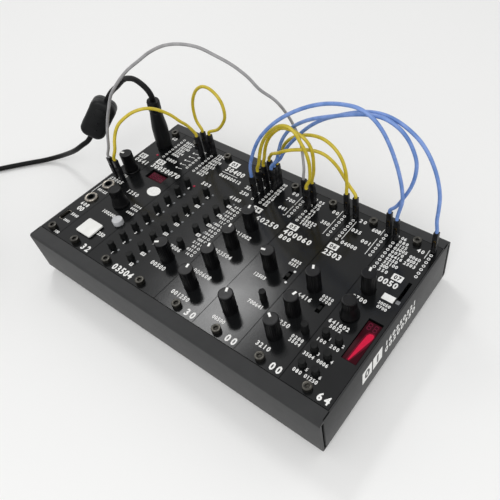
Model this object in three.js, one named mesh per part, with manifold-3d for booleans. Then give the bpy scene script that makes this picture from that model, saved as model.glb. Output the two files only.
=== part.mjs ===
import * as THREE from "three";
import { mergeVertices } from "three/addons/utils/BufferGeometryUtils.js";
import Module from "manifold-3d";

const wasm = await Module();
wasm.setup();

// Lengths are in millimetres. X runs along the row of modules, Y from front to back and Z up.
// Zero is under the middle of the case, on the soles of its feet. The modules, the leads and
// the case are placed in the row's frame: X from the row's left end, Y from the panels' front
// edge, Z from the panels' top.

// Row of modules
const unitWidth = 12.5;
const panelLength = 99;
const panelThickness = 1.6;
const panelGap = 0.3;
const supplyUnitCount = 1;
const sequencerUnitCount = 4;
const moduleUnitCount = 2;
const unitsPerScrewCount = 2;

// Case of folded sheet
const wallHeight = 26.7;
const frontRailWidth = 7.6;
const rearRailWidth = 6.8;
const sheet = 1.2;
const bendRadius = 1.5;
const lipGap = 0.3;
const sidePlateThickness = 0.9;
const sideGroove = 1.2;
const footRadius = 4;
const footHeight = 2.5;
const footInset = 9;

// Clearances
const runningGap = 0.3;
const pressGap = 0.15;
const overrun = 0.2;

// Circuit boards and what stands on them
const boardDrop = 8.6;
const boardThickness = 1.6;
const boardMargin = 1;
const boardEndMargin = 2.5;
const pinPitch = 2.54;
const pinHole = 1.1;
const pinHoleDepth = 7;
const headerWidth = 2.54;
const headerHoleCount = 8;
const headerRearInset = 4.32;
const headerLeftX = 2.5;
const headerRightInset = 2.9;
const switchSide = 6;
const switchHeight = 3.5;
const displayRecess = 0.9;

// Screws and the rails that they hold in
const screwInsetY = 3.1;
const screwRadius = 1.25;
const screwHeadRadius = 2.25;
const screwHeadHeight = 2.4;
const socketRadius = 1.15;
const socketDepth = 1.3;
const railHeight = 4;
const railBearing = 2.6;
const lugReach = 5.9;
const lugWidth = 6;

// Knobs
const knobRadius = 3.5;
const knobHeight = 12.5;
const knobEdge = 0.35;
const potWidth = 9.5;
const potLength = 11;
const knobRingWidth = 0.75;
const knobRingHeight = 0.9;
const encoderSkirtRadius = 4.65;
const encoderSkirtHeight = 1.2;
const encoderFlareHeight = 6;
const encoderHeight = 11.5;
const encoderLift = 0.4;
const encoderShaftRadius = 2.6;
const encoderShaftHeight = 8;
const encoderSide = 12;

// Buttons
const capRadius = 1.7;
const capHeight = 4;
const capEdge = 0.3;
const tallCapHeight = 6.2;
const roundCapRadius = 2.85;
const roundCapHeight = 2.7;
const buttonTravel = 0.4;
const stemRadius = 1.1;
const flangeWidth = 0.6;
const flangeThickness = 0.8;
const barWidth = 2.4;
const barThickness = 1.4;
const padWidth = 11;
const padLength = 9.8;
const padHeight = 1.6;
const padCorner = 0.9;
const padStemSide = 5;

// Slide switches
const slideSlotWidth = 2.5;
const slideSlotLength = 5.6;
const slideNubWidth = 1.7;
const slideNubLength = 2.2;
const slideNubHeight = 0.7;

// Supply module
const usbX = 3.3;
const usbY = 13;
const usbWidth = 3.2;
const usbLength = 7.2;
const usbWall = 0.7;
const usbDepth = 6;
const usbTongueThickness = 0.8;
const jackX = 5.9;
const jackFirstY = 29.3;
const jackPitchY = 12.6;
const jackCount = 2;
const jackRingRadius = 3.6;
const jackRingHeight = 1.1;
const jackHoleRadius = 1.8;
const jackHoleDepth = 8.5;
const jackSide = 9;
const supplyHeaderX = 4.2;
const supplyHeaderY = 49.7;
const supplyHeaderHoleCount = 3;
const supplyKnobX = 7.5;
const supplyKnobY = 58.4;
const dcX = 7.9;
const dcRearInset = 14.5;
const dcSocketSide = 9;
const dcHoleRadius = 3.6;

// Control module
const padX = 12.3;
const padY = 13;
const roundButtonX = 21.8;
const roundButtonY = 24.5;
const controlEncoderX = 12;
const controlEncoderY = 35;
const controlDisplayX = 12.3;
const controlDisplayY = 61.9;
const controlDisplayWidth = 12.8;
const controlDisplayLength = 7;

// Sequencer module
const stepFirstY = 11;
const stepPitch = 8;
const stepCount = 8;
const stepRowAX = 7.5;
const stepRowBX = 21.9;
const functionRowX = 37.1;
const functionCount = 4;
const loneButtonY = 31.5;
const sequencerKnobX = 37.6;
const sequencerKnobY = 21.3;
const longHeaderX = 47;
const longHeaderFirstY = 28.9;
const longHeaderHoleCount = 16;

// Mixer module
const mixerKnobX = 9.9;
const mixerKnobFirstY = 15.4;
const mixerKnobPitch = 15.1;
const mixerKnobCount = 4;

// Drum module
const drumKnobX = 10.1;
const drumKnobFrontY = 15.1;
const drumKnobRearY = 44.8;
const drumButtonX = 19.4;
const drumButtonY = 28;
const drumSwitchX = 20.8;
const drumSwitchY = 45;

// Bass drum module
const bassKnobX = 10.3;
const bassKnobFrontY = 15.7;
const bassKnobMiddleY = 29.8;
const bassKnobRearY = 46.4;
const bassButtonX = 20.9;
const bassButtonY = 24.5;
const bassSwitchX = 19.3;
const bassSwitchY = 37.9;

// Sampler module
const samplerButtonLeftX = 4.6;
const samplerButtonPitchX = 6.8;
const samplerButtonFirstY = 10.4;
const samplerButtonPitchY = 8.75;
const samplerButtonRowCount = 3;
const samplerButtonColumnCount = 2;
const samplerDisplayX = 19.65;
const samplerDisplayY = 34;
const samplerDisplayWidth = 7.5;
const samplerDisplayLength = 23.2;
const samplerEncoderX = 7.5;
const samplerEncoderY = 42.4;
const samplerKnobX = 7.2;
const samplerKnobY = 58.9;
const cardSlotX = 21.9;
const cardSlotY = 66.5;
const cardSlotWidth = 1.8;
const cardSlotLength = 11.6;
const cardSocketWall = 1;
const samplerHeaderExtraCount = 2;

// Patch leads
const leadRadius = 0.9;
const greyLeadRadius = 0.75;
const housingSide = 2.5;
const housingHeight = 14;
const housingLift = 0.2;
const pinSide = 0.5;
const pinLength = 6;
const leadStraight = 1.5;
const leadStep = 6;

// Power lead with its plug, choke and adaptor
const plugLeanDegrees = 6;
const plugLift = 0.8;
const barrelRadius = 2.75;
const barrelLength = 6;
const plugBaseRadius = 4.5;
const plugWaistRadius = 4.6;
const plugWaistHeight = 15;
const plugNeckRadius = 3.3;
const plugNeckHeight = 26.5;
const plugCollarRadius = 3.7;
const plugCollarBottom = 27.2;
const plugHeight = 34;
const cableRadius = 1.6;
const cableStep = 7.5;
const chokeLength = 28;
const chokeWidth = 16.5;
const chokeThickness = 13;
const chokeCorner = 4.5;
const chokeBevel = 1.2;
const chokeCentre = [-34, 73.5, 12.4];
const chokeAxisShares = [-0.36, -0.54, -0.76];
const chokeFaceShares = [0.672, -0.715, 0.191];
const chokeBoreGap = 0.6;
const chokeLead = 4;
const coilX = -112.6;
const coilY = -14.4;
const coilRadius = 24.6;
const coilPitch = 3.9;
const coilTurnCount = 3;
const coilStartDegrees = 140;
const coilRampDegrees = 110;
const coilEndDegrees = 250;
const coilTail = 26;
const adaptorLength = 60;
const adaptorWidth = 38;
const adaptorHeight = 28;
const adaptorCorner = 4;
const reliefRadius = 3;
const reliefLength = 10;
const mainsPinRadius = 2;
const mainsPinLength = 19;
const mainsPinPitch = 18.6;

// Facets
const knobSides = 16;
const capSides = 8;
const holeSides = 8;
const ringSides = 12;
const knobHoleSides = 12;
const headSides = 10;
const socketSides = 6;
const leadSides = 8;
const coilSides = 6;
const coilSteps = 24;
const cornerSteps = 2;

// Places worked out from the sizes above
const boardTopZ = -panelThickness - boardDrop;
const potTopZ = -panelThickness - runningGap;
const switchTopZ = boardTopZ + switchHeight;
const stemFootZ = switchTopZ + buttonTravel + pressGap;
const floorZ = -wallHeight - footHeight;
const outerFrontY = -frontRailWidth;
const outerRearY = panelLength + rearRailWidth;
const headerFirstY = panelLength - headerRearInset - (headerHoleCount - 1) * pinPitch;
const dcY = panelLength - dcRearInset;

const moduleNames = ["supply", "control", "sequencer", "mixer", "drum", "bass_drum", "sampler"];
const unitCounts = moduleNames.map((name) => {
  if (name === "supply") return supplyUnitCount;
  return name === "sequencer" ? sequencerUnitCount : moduleUnitCount;
});
const rowWidth = unitWidth * unitCounts.reduce((sum, count) => sum + count, 0);

// Left edge of a module in the row.
function moduleLeft(name) {
  const before = unitCounts.slice(0, moduleNames.indexOf(name));
  return unitWidth * before.reduce((sum, count) => sum + count, 0);
}

function moduleWidth(name) {
  return unitWidth * unitCounts[moduleNames.indexOf(name)];
}

// Screws stand at even spaces along a module, one for every two units.
function screwPlaces(name) {
  const width = moduleWidth(name);
  const count = Math.ceil(width / unitWidth / unitsPerScrewCount);
  return Array.from({ length: count }, (_, i) => (width * (2 * i + 1)) / (2 * count));
}

// Materials
function material(color, roughness, metalness) {
  return new THREE.MeshStandardMaterial({ color, roughness, metalness });
}
const blackBoard = material(0x1d1f22, 0.15, 0);
const blackPaint = material(0x26272a, 0.45, 0.3);
const blackScrew = material(0x17181a, 0.35, 0.8);
const satinPlastic = material(0x2b2c2f, 0.5, 0);
const softPlastic = material(0x1f2023, 0.6, 0);
const whitePlastic = material(0xf2f2ef, 0.4, 0);
const greyPlastic = material(0xa9aaac, 0.45, 0);
const blackRubber = material(0x1a1a1b, 0.85, 0);
const yellowSleeve = material(0xd9c43c, 0.45, 0);
const blueSleeve = material(0x6e96dc, 0.45, 0);
const greySleeve = material(0xa8a8a8, 0.45, 0);

// Plain solids
function block(x0, x1, y0, y1, z0, z1) {
  const box = new THREE.BoxGeometry(x1 - x0, y1 - y0, z1 - z0);
  return box.translate((x0 + x1) / 2, (y0 + y1) / 2, (z0 + z1) / 2);
}

function blockAt(x, y, width, length, z0, z1) {
  return block(x - width / 2, x + width / 2, y - length / 2, y + length / 2, z0, z1);
}

function post(x, y, radius, z0, z1, sides) {
  const cylinder = new THREE.CylinderGeometry(radius, radius, z1 - z0, sides);
  return cylinder.rotateX(Math.PI / 2).translate(x, y, (z0 + z1) / 2);
}

// A solid turned about Z from [radius, height] points that start and end on the axis.
function turned(profile, sides) {
  const points = profile.map(([radius, height]) => new THREE.Vector2(radius, height));
  return new THREE.LatheGeometry(points, sides).rotateX(Math.PI / 2);
}

function roundedRectangle(width, length, corner) {
  const x = width / 2 - corner;
  const y = length / 2 - corner;
  const shape = new THREE.Shape();
  shape.absarc(x, y, corner, 0, Math.PI / 2);
  shape.absarc(-x, y, corner, Math.PI / 2, Math.PI);
  shape.absarc(-x, -y, corner, Math.PI, 1.5 * Math.PI);
  shape.absarc(x, -y, corner, 1.5 * Math.PI, 2 * Math.PI);
  return shape;
}

// A slab with round corners seen from above and a bevel round its top and bottom.
function roundedSlab(width, length, height, corner, bevel) {
  const inner = roundedRectangle(width - 2 * bevel, length - 2 * bevel, corner - bevel);
  return new THREE.ExtrudeGeometry(inner, {
    depth: height - 2 * bevel,
    bevelThickness: bevel,
    bevelSize: bevel,
    bevelSegments: 1,
    bevelEnabled: true,
    curveSegments: cornerSteps,
  }).translate(0, 0, bevel);
}

// A closed geometry as a solid of manifold-3d, and the way back.
function toSolid(geometry) {
  const bare = geometry.clone();
  bare.deleteAttribute("normal");
  bare.deleteAttribute("uv");
  const merged = mergeVertices(bare);
  return new wasm.Manifold(
    new wasm.Mesh({
      numProp: 3,
      vertProperties: merged.attributes.position.array,
      triVerts: new Uint32Array(merged.index.array),
    }),
  );
}

function toGeometry(solid) {
  const mesh = solid.getMesh();
  const geometry = new THREE.BufferGeometry();
  geometry.setAttribute("position", new THREE.BufferAttribute(mesh.vertProperties, 3));
  geometry.setIndex(new THREE.BufferAttribute(mesh.triVerts, 1));
  const flat = geometry.toNonIndexed();
  flat.computeVertexNormals();
  return flat;
}

// The solids joined, less the cuts.
function made(solids, cuts = []) {
  const whole = wasm.Manifold.union(solids.map(toSolid));
  if (!cuts.length) return toGeometry(whole);
  return toGeometry(whole.subtract(wasm.Manifold.union(cuts.map(toSolid))));
}

function piece(name, geometry, finish) {
  const mesh = new THREE.Mesh(geometry, finish);
  mesh.name = name;
  return mesh;
}

// A round tube along a path, with flat ends.
function tube(curve, radius, sides, steps) {
  const corners = Array.from({ length: sides }, (_, i) => {
    const turn = (2 * Math.PI * i) / sides;
    return new THREE.Vector2(radius * Math.cos(turn), radius * Math.sin(turn));
  });
  const section = new THREE.Shape(corners);
  return new THREE.ExtrudeGeometry(section, { extrudePath: curve, steps, bevelEnabled: false });
}

function smoothCurve(points) {
  return new THREE.CatmullRomCurve3(points, false, "centripetal");
}

// Case
function caseTray() {
  const frontTipY = -lipGap;
  const rearTipY = panelLength + lipGap;
  const frontBendY = outerFrontY + bendRadius;
  const rearBendY = outerRearY - bendRadius;
  const lowBendZ = bendRadius - wallHeight;
  const innerRadius = bendRadius - sheet;
  const quarter = Math.PI / 2;
  const outline = new THREE.Shape();
  outline.moveTo(frontTipY, 0);
  outline.absarc(frontBendY, -bendRadius, bendRadius, quarter, 2 * quarter);
  outline.absarc(frontBendY, lowBendZ, bendRadius, 2 * quarter, 3 * quarter);
  outline.absarc(rearBendY, lowBendZ, bendRadius, 3 * quarter, 4 * quarter);
  outline.absarc(rearBendY, -bendRadius, bendRadius, 0, quarter);
  outline.lineTo(rearTipY, 0);
  outline.lineTo(rearTipY, -sheet);
  outline.absarc(rearBendY, -bendRadius, innerRadius, quarter, 0, true);
  outline.absarc(rearBendY, lowBendZ, innerRadius, 4 * quarter, 3 * quarter, true);
  outline.absarc(frontBendY, lowBendZ, innerRadius, 3 * quarter, 2 * quarter, true);
  outline.absarc(frontBendY, -bendRadius, innerRadius, 2 * quarter, quarter, true);
  outline.lineTo(frontTipY, -sheet);
  const outerWidth = rowWidth + 2 * sidePlateThickness;
  const folded = new THREE.ExtrudeGeometry(outline, {
    depth: outerWidth,
    bevelEnabled: false,
    curveSegments: cornerSteps,
  });
  const along = new THREE.Vector3(1, 0, 0);
  const back = new THREE.Vector3(0, 1, 0);
  const up = new THREE.Vector3(0, 0, 1);
  folded.applyMatrix4(new THREE.Matrix4().makeBasis(back, up, along));
  folded.translate(-sidePlateThickness, 0, 0);
  const recess = [outerFrontY + bendRadius, outerRearY - bendRadius, -wallHeight - overrun, overrun];
  const cuts = [
    block(-sidePlateThickness - overrun, 0, ...recess),
    block(rowWidth, rowWidth + sidePlateThickness + overrun, ...recess),
  ];
  return piece("case_tray", made([folded], cuts), blackPaint);
}

function sidePlate(name, x0) {
  const frontY = outerFrontY + bendRadius + sideGroove;
  const rearY = outerRearY - bendRadius - sideGroove;
  const plate = block(x0, x0 + sidePlateThickness, frontY, rearY, -wallHeight, 0);
  return piece(name, plate, blackPaint);
}

function foot(name, x, y) {
  return piece(name, post(x, y, footRadius, floorZ, -wallHeight, knobHoleSides), blackRubber);
}

// A threaded strip under one edge of the panels, with the socket screws that hold them to it.
function screwRail(name, outerY, edgeY) {
  const inward = Math.sign(edgeY - outerY);
  const wallY = outerY + inward * (sheet + runningGap);
  const bearingY = edgeY + inward * railBearing;
  const lugY = edgeY + inward * lugReach;
  const screwY = edgeY + inward * screwInsetY;
  const lowZ = -panelThickness - railHeight;
  const strip = block(
    runningGap,
    rowWidth - runningGap,
    Math.min(wallY, bearingY),
    Math.max(wallY, bearingY),
    lowZ,
    -panelThickness,
  );
  const solids = [strip];
  const cuts = [];
  for (const moduleName of moduleNames) {
    for (const place of screwPlaces(moduleName)) {
      const x = moduleLeft(moduleName) + place;
      const nearY = Math.min(lugY, bearingY - inward * overrun);
      const farY = Math.max(lugY, bearingY - inward * overrun);
      solids.push(block(x - lugWidth / 2, x + lugWidth / 2, nearY, farY, lowZ, -panelThickness));
      solids.push(post(x, screwY, screwRadius, -panelThickness - overrun, overrun, socketSides));
      solids.push(post(x, screwY, screwHeadRadius, 0, screwHeadHeight, headSides));
      const socketZ = screwHeadHeight - socketDepth;
      cuts.push(post(x, screwY, socketRadius, socketZ, screwHeadHeight + overrun, socketSides));
    }
  }
  return piece(name, made(solids, cuts), blackScrew);
}

// What every module has: a panel, the circuit board under it and its screws' holes. Fixed
// pieces go to solids, holes to cuts and pieces that move to moving.
function startModule(name) {
  const width = moduleWidth(name);
  const low = boardTopZ - boardThickness;
  const solids = [
    block(panelGap / 2, width - panelGap / 2, 0, panelLength, -panelThickness, 0),
    block(boardMargin, width - boardMargin, boardEndMargin, panelLength - boardEndMargin, low, boardTopZ),
  ];
  const cuts = [];
  for (const x of screwPlaces(name)) {
    for (const y of [screwInsetY, panelLength - screwInsetY]) {
      cuts.push(post(x, y, screwRadius + runningGap, -panelThickness - overrun, overrun, holeSides));
    }
  }
  return { name, width, solids, cuts, moving: [] };
}

function finishModule(module) {
  const group = new THREE.Group();
  group.position.x = moduleLeft(module.name);
  group.add(piece(module.name + "_module", made(module.solids, module.cuts), blackBoard));
  for (const [mesh, x, y] of module.moving) {
    mesh.position.set(x, y, 0);
    group.add(mesh);
  }
  return group;
}

// A body on the circuit board that reaches up to topZ.
function addBody(module, x, y, width, length, topZ) {
  module.solids.push(blockAt(x, y, width, length, boardTopZ - overrun, topZ));
}

function addHoles(module, x, firstY, count) {
  const lastY = firstY + (count - 1) * pinPitch;
  addBody(
    module,
    x,
    (firstY + lastY) / 2,
    headerWidth,
    lastY - firstY + pinPitch,
    overrun - panelThickness,
  );
  for (let i = 0; i < count; i += 1) {
    module.cuts.push(blockAt(x, firstY + i * pinPitch, pinHole, pinHole, -pinHoleDepth, overrun));
  }
}

function addSideHeaders(module, extraCount = 0) {
  addHoles(module, headerLeftX, headerFirstY - extraCount * pinPitch, headerHoleCount + extraCount);
  addHoles(module, module.width - headerRightInset, headerFirstY, headerHoleCount);
}

function knobShape() {
  const footZ = potTopZ + runningGap;
  const profile = [
    [0, footZ],
    [knobRadius, footZ],
    [knobRadius, knobHeight - knobEdge],
    [knobRadius - knobEdge, knobHeight],
    [0, knobHeight],
  ];
  return turned(profile, knobSides);
}

function addKnob(module, name, x, y) {
  const holeRadius = knobRadius + runningGap;
  module.cuts.push(post(x, y, holeRadius, -panelThickness - overrun, overrun, knobHoleSides));
  addBody(module, x, y, potWidth, potLength, potTopZ);
  module.moving.push([piece(name, knobShape(), satinPlastic), x, y]);
}

// A knob with a flared skirt, bored to slip over the encoder's shaft.
function addEncoder(module, name, x, y) {
  const boreRadius = encoderShaftRadius + runningGap;
  const boreTop = encoderShaftHeight + runningGap;
  const profile = [
    [0, boreTop],
    [boreRadius, boreTop],
    [boreRadius, encoderLift],
    [encoderSkirtRadius, encoderLift],
    [encoderSkirtRadius, encoderLift + encoderSkirtHeight],
    [knobRadius, encoderLift + encoderFlareHeight],
    [knobRadius, encoderHeight - knobEdge],
    [knobRadius - knobEdge, encoderHeight],
    [0, encoderHeight],
  ];
  addBody(module, x, y, encoderSide, encoderSide, overrun - panelThickness);
  module.solids.push(post(x, y, encoderShaftRadius, -overrun, encoderShaftHeight, holeSides));
  module.moving.push([piece(name, turned(profile, knobSides), satinPlastic), x, y]);
}

// A button's cap with its stem; a flange under the panel keeps it in.
function capShape(radius, height, sides) {
  const flangeTop = -panelThickness - runningGap;
  const flangeFoot = flangeTop - flangeThickness;
  const profile = [
    [0, stemFootZ],
    [stemRadius, stemFootZ],
    [stemRadius, flangeFoot],
    [radius + flangeWidth, flangeFoot],
    [radius + flangeWidth, flangeTop],
    [radius, flangeTop],
    [radius, height - capEdge],
    [radius - capEdge, height],
    [0, height],
  ];
  return turned(profile, sides);
}

function addButtonHole(module, x, y, radius, sides) {
  module.cuts.push(post(x, y, radius + runningGap, -panelThickness - overrun, overrun, sides));
}

function addButton(module, name, x, y, radius, height, finish) {
  const sides = radius > capRadius ? ringSides : capSides;
  addButtonHole(module, x, y, radius, sides);
  addBody(module, x, y, switchSide, switchSide, switchTopZ);
  module.moving.push([piece(name, capShape(radius, height, sides), finish), x, y]);
}

// A row of caps, carried by one bar under the panel.
function addButtonRow(module, name, x, places) {
  const barTop = -panelThickness - runningGap;
  const lastY = places[places.length - 1];
  const middleY = (places[0] + lastY) / 2;
  const barLength = lastY - places[0] + barWidth;
  const solids = [blockAt(0, middleY, barWidth, barLength, barTop - barThickness, barTop)];
  const profile = [
    [0, stemFootZ],
    [capRadius, stemFootZ],
    [capRadius, capHeight - capEdge],
    [capRadius - capEdge, capHeight],
    [0, capHeight],
  ];
  addBody(module, x, middleY, switchSide, lastY - places[0] + switchSide, switchTopZ);
  for (const y of places) {
    addButtonHole(module, x, y, capRadius, capSides);
    solids.push(turned(profile, capSides).translate(0, y, 0));
  }
  module.moving.push([piece(name, made(solids), softPlastic), x, 0]);
}

function addPad(module, name, x, y) {
  const footZ = buttonTravel + pressGap;
  const slab = roundedSlab(padWidth, padLength, padHeight - footZ, padCorner, capEdge);
  const stem = blockAt(0, 0, padStemSide, padStemSide, stemFootZ, footZ + overrun);
  const hole = padStemSide + 2 * runningGap;
  module.cuts.push(blockAt(x, y, hole, hole, -panelThickness - overrun, overrun));
  addBody(module, x, y, switchSide, switchSide, switchTopZ);
  module.moving.push([piece(name, made([slab.translate(0, 0, footZ), stem]), whitePlastic), x, y]);
}

// A slide switch: its nub runs along Y in a slot.
function addSlide(module, name, x, y) {
  const footZ = potTopZ + pressGap;
  module.cuts.push(
    blockAt(x, y, slideSlotWidth, slideSlotLength, -panelThickness - overrun, overrun),
  );
  addBody(module, x, y, slideSlotWidth + 2 * usbWall, slideSlotLength + 2 * usbWall, potTopZ);
  const nub = blockAt(0, 0, slideNubWidth, slideNubLength, footZ, slideNubHeight);
  module.moving.push([piece(name, nub, softPlastic), x, y]);
}

function addDisplay(module, x, y, width, length) {
  module.cuts.push(blockAt(x, y, width, length, -panelThickness - overrun, overrun));
  addBody(module, x, y, width - 2 * runningGap, length - 2 * runningGap, -displayRecess);
}

// Sockets of the supply module
function addUsb(module) {
  const outerWidth = usbWidth + 2 * usbWall;
  const outerLength = usbLength + 2 * usbWall;
  const tongueLength = usbLength - 2 * usbWall;
  addBody(module, usbX, usbY, outerWidth, outerLength, overrun - panelThickness);
  const side = (usbWidth - usbTongueThickness) / 2;
  for (const sign of [-1, 1]) {
    const x = usbX + (sign * (usbTongueThickness + side)) / 2;
    module.cuts.push(blockAt(x, usbY, side, usbLength, -usbDepth, overrun));
    const y = usbY + (sign * (tongueLength + usbLength)) / 4;
    module.cuts.push(blockAt(usbX, y, usbWidth, (usbLength - tongueLength) / 2, -usbDepth, overrun));
  }
  module.cuts.push(blockAt(usbX, usbY, usbWidth, usbLength, -panelThickness, overrun));
}

function addJack(module, y) {
  addBody(module, jackX, y, jackSide, jackSide, overrun - panelThickness);
  module.solids.push(post(jackX, y, jackRingRadius, -overrun, jackRingHeight, ringSides));
  module.cuts.push(post(jackX, y, jackHoleRadius, -jackHoleDepth, jackRingHeight + overrun, holeSides));
}

function addDcSocket(module) {
  addBody(module, dcX, dcY, dcSocketSide, dcSocketSide, overrun - panelThickness);
  module.cuts.push(post(dcX, dcY, dcHoleRadius, boardTopZ + runningGap, overrun, ringSides));
}

function addCardSlot(module) {
  const width = cardSlotWidth + 2 * cardSocketWall;
  const length = cardSlotLength + 2 * cardSocketWall;
  addBody(module, cardSlotX, cardSlotY, width, length, overrun - panelThickness);
  module.cuts.push(
    blockAt(cardSlotX, cardSlotY, cardSlotWidth, cardSlotLength, -pinHoleDepth, overrun),
  );
}

// Modules
function supplyModule() {
  const module = startModule("supply");
  addUsb(module);
  for (let i = 0; i < jackCount; i += 1) addJack(module, jackFirstY + i * jackPitchY);
  for (let i = 0; i < supplyHeaderHoleCount; i += 1) {
    addHoles(module, supplyHeaderX + i * pinPitch, supplyHeaderY, 1);
  }
  const ringRadius = knobRadius + runningGap + knobRingWidth;
  const ringTop = knobRingHeight;
  module.solids.push(post(supplyKnobX, supplyKnobY, ringRadius, -overrun, ringTop, knobSides));
  const boreRadius = knobRadius + runningGap;
  module.cuts.push(post(supplyKnobX, supplyKnobY, boreRadius, -overrun, ringTop + overrun, knobSides));
  addKnob(module, "supply_knob", supplyKnobX, supplyKnobY);
  addDcSocket(module);
  return finishModule(module);
}

function controlModule() {
  const module = startModule("control");
  addPad(module, "touch_pad", padX, padY);
  const roundSizes = [roundCapRadius, roundCapHeight];
  addButton(module, "round_button", roundButtonX, roundButtonY, ...roundSizes, greyPlastic);
  addEncoder(module, "control_encoder_knob", controlEncoderX, controlEncoderY);
  addDisplay(module, controlDisplayX, controlDisplayY, controlDisplayWidth, controlDisplayLength);
  addSideHeaders(module);
  return finishModule(module);
}

function sequencerModule() {
  const module = startModule("sequencer");
  const steps = Array.from({ length: stepCount }, (_, i) => stepFirstY + i * stepPitch);
  const functions = steps.slice(stepCount - functionCount);
  addButtonRow(module, "step_buttons_a", stepRowAX, steps);
  addButtonRow(module, "step_buttons_b", stepRowBX, steps);
  addButtonRow(module, "function_buttons", functionRowX, [loneButtonY, ...functions]);
  addKnob(module, "sequencer_knob", sequencerKnobX, sequencerKnobY);
  addHoles(module, longHeaderX, longHeaderFirstY, longHeaderHoleCount);
  addSideHeaders(module);
  return finishModule(module);
}

function mixerModule() {
  const module = startModule("mixer");
  for (let i = 0; i < mixerKnobCount; i += 1) {
    addKnob(module, "mixer_knob_" + (i + 1), mixerKnobX, mixerKnobFirstY + i * mixerKnobPitch);
  }
  addSideHeaders(module);
  return finishModule(module);
}

function drumModule() {
  const module = startModule("drum");
  addKnob(module, "drum_knob_1", drumKnobX, drumKnobFrontY);
  addKnob(module, "drum_knob_2", drumKnobX, drumKnobRearY);
  addButton(module, "drum_button", drumButtonX, drumButtonY, capRadius, tallCapHeight, softPlastic);
  addSlide(module, "drum_switch", drumSwitchX, drumSwitchY);
  addSideHeaders(module);
  return finishModule(module);
}

function bassDrumModule() {
  const module = startModule("bass_drum");
  const knobPlaces = [bassKnobFrontY, bassKnobMiddleY, bassKnobRearY];
  knobPlaces.forEach((y, i) => addKnob(module, "bass_drum_knob_" + (i + 1), bassKnobX, y));
  addButton(module, "bass_drum_button", bassButtonX, bassButtonY, capRadius, tallCapHeight, softPlastic);
  addSlide(module, "bass_drum_switch", bassSwitchX, bassSwitchY);
  addSideHeaders(module);
  return finishModule(module);
}

function samplerModule() {
  const module = startModule("sampler");
  for (let row = 0; row < samplerButtonRowCount; row += 1) {
    for (let column = 0; column < samplerButtonColumnCount; column += 1) {
      const name = "sampler_button_" + (row * samplerButtonColumnCount + column + 1);
      const x = samplerButtonLeftX + column * samplerButtonPitchX;
      const y = samplerButtonFirstY + row * samplerButtonPitchY;
      addButton(module, name, x, y, capRadius, capHeight, softPlastic);
    }
  }
  addDisplay(module, samplerDisplayX, samplerDisplayY, samplerDisplayWidth, samplerDisplayLength);
  addEncoder(module, "sampler_encoder_knob", samplerEncoderX, samplerEncoderY);
  addKnob(module, "sampler_knob", samplerKnobX, samplerKnobY);
  addCardSlot(module);
  addSideHeaders(module, samplerHeaderExtraCount);
  return finishModule(module);
}

// Where a hole of a side header lies in the row, counted from the front.
function leftHole(name, index) {
  return [moduleLeft(name) + headerLeftX, headerFirstY + index * pinPitch];
}

function rightHole(name, index) {
  return [moduleLeft(name) + moduleWidth(name) - headerRightInset, headerFirstY + index * pinPitch];
}

function supplyHole(index) {
  return [supplyHeaderX + index * pinPitch, supplyHeaderY];
}

// A patch lead: a wire between two plugs that stand on holes, each with its pin in the hole.
function patchLead(name, from, to, radius, finish, places) {
  const topZ = housingLift + housingHeight;
  const ends = [from, to].map(([x, y]) => [
    new THREE.Vector3(x, y, topZ - overrun),
    new THREE.Vector3(x, y, topZ + leadStraight),
  ]);
  const middle = places.map(([x, y, z]) => new THREE.Vector3(x, y, z));
  const curve = smoothCurve([...ends[0], ...middle, ends[1][1], ends[1][0]]);
  const solids = [tube(curve, radius, leadSides, Math.round(curve.getLength() / leadStep))];
  for (const [x, y] of [from, to]) {
    solids.push(blockAt(x, y, housingSide, housingSide, housingLift, topZ));
    solids.push(blockAt(x, y, pinSide, pinSide, -pinLength, housingLift + overrun));
  }
  console.log(name, "wire", Math.round(curve.getLength()), "mm");
  return piece(name, made(solids), finish);
}

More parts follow.
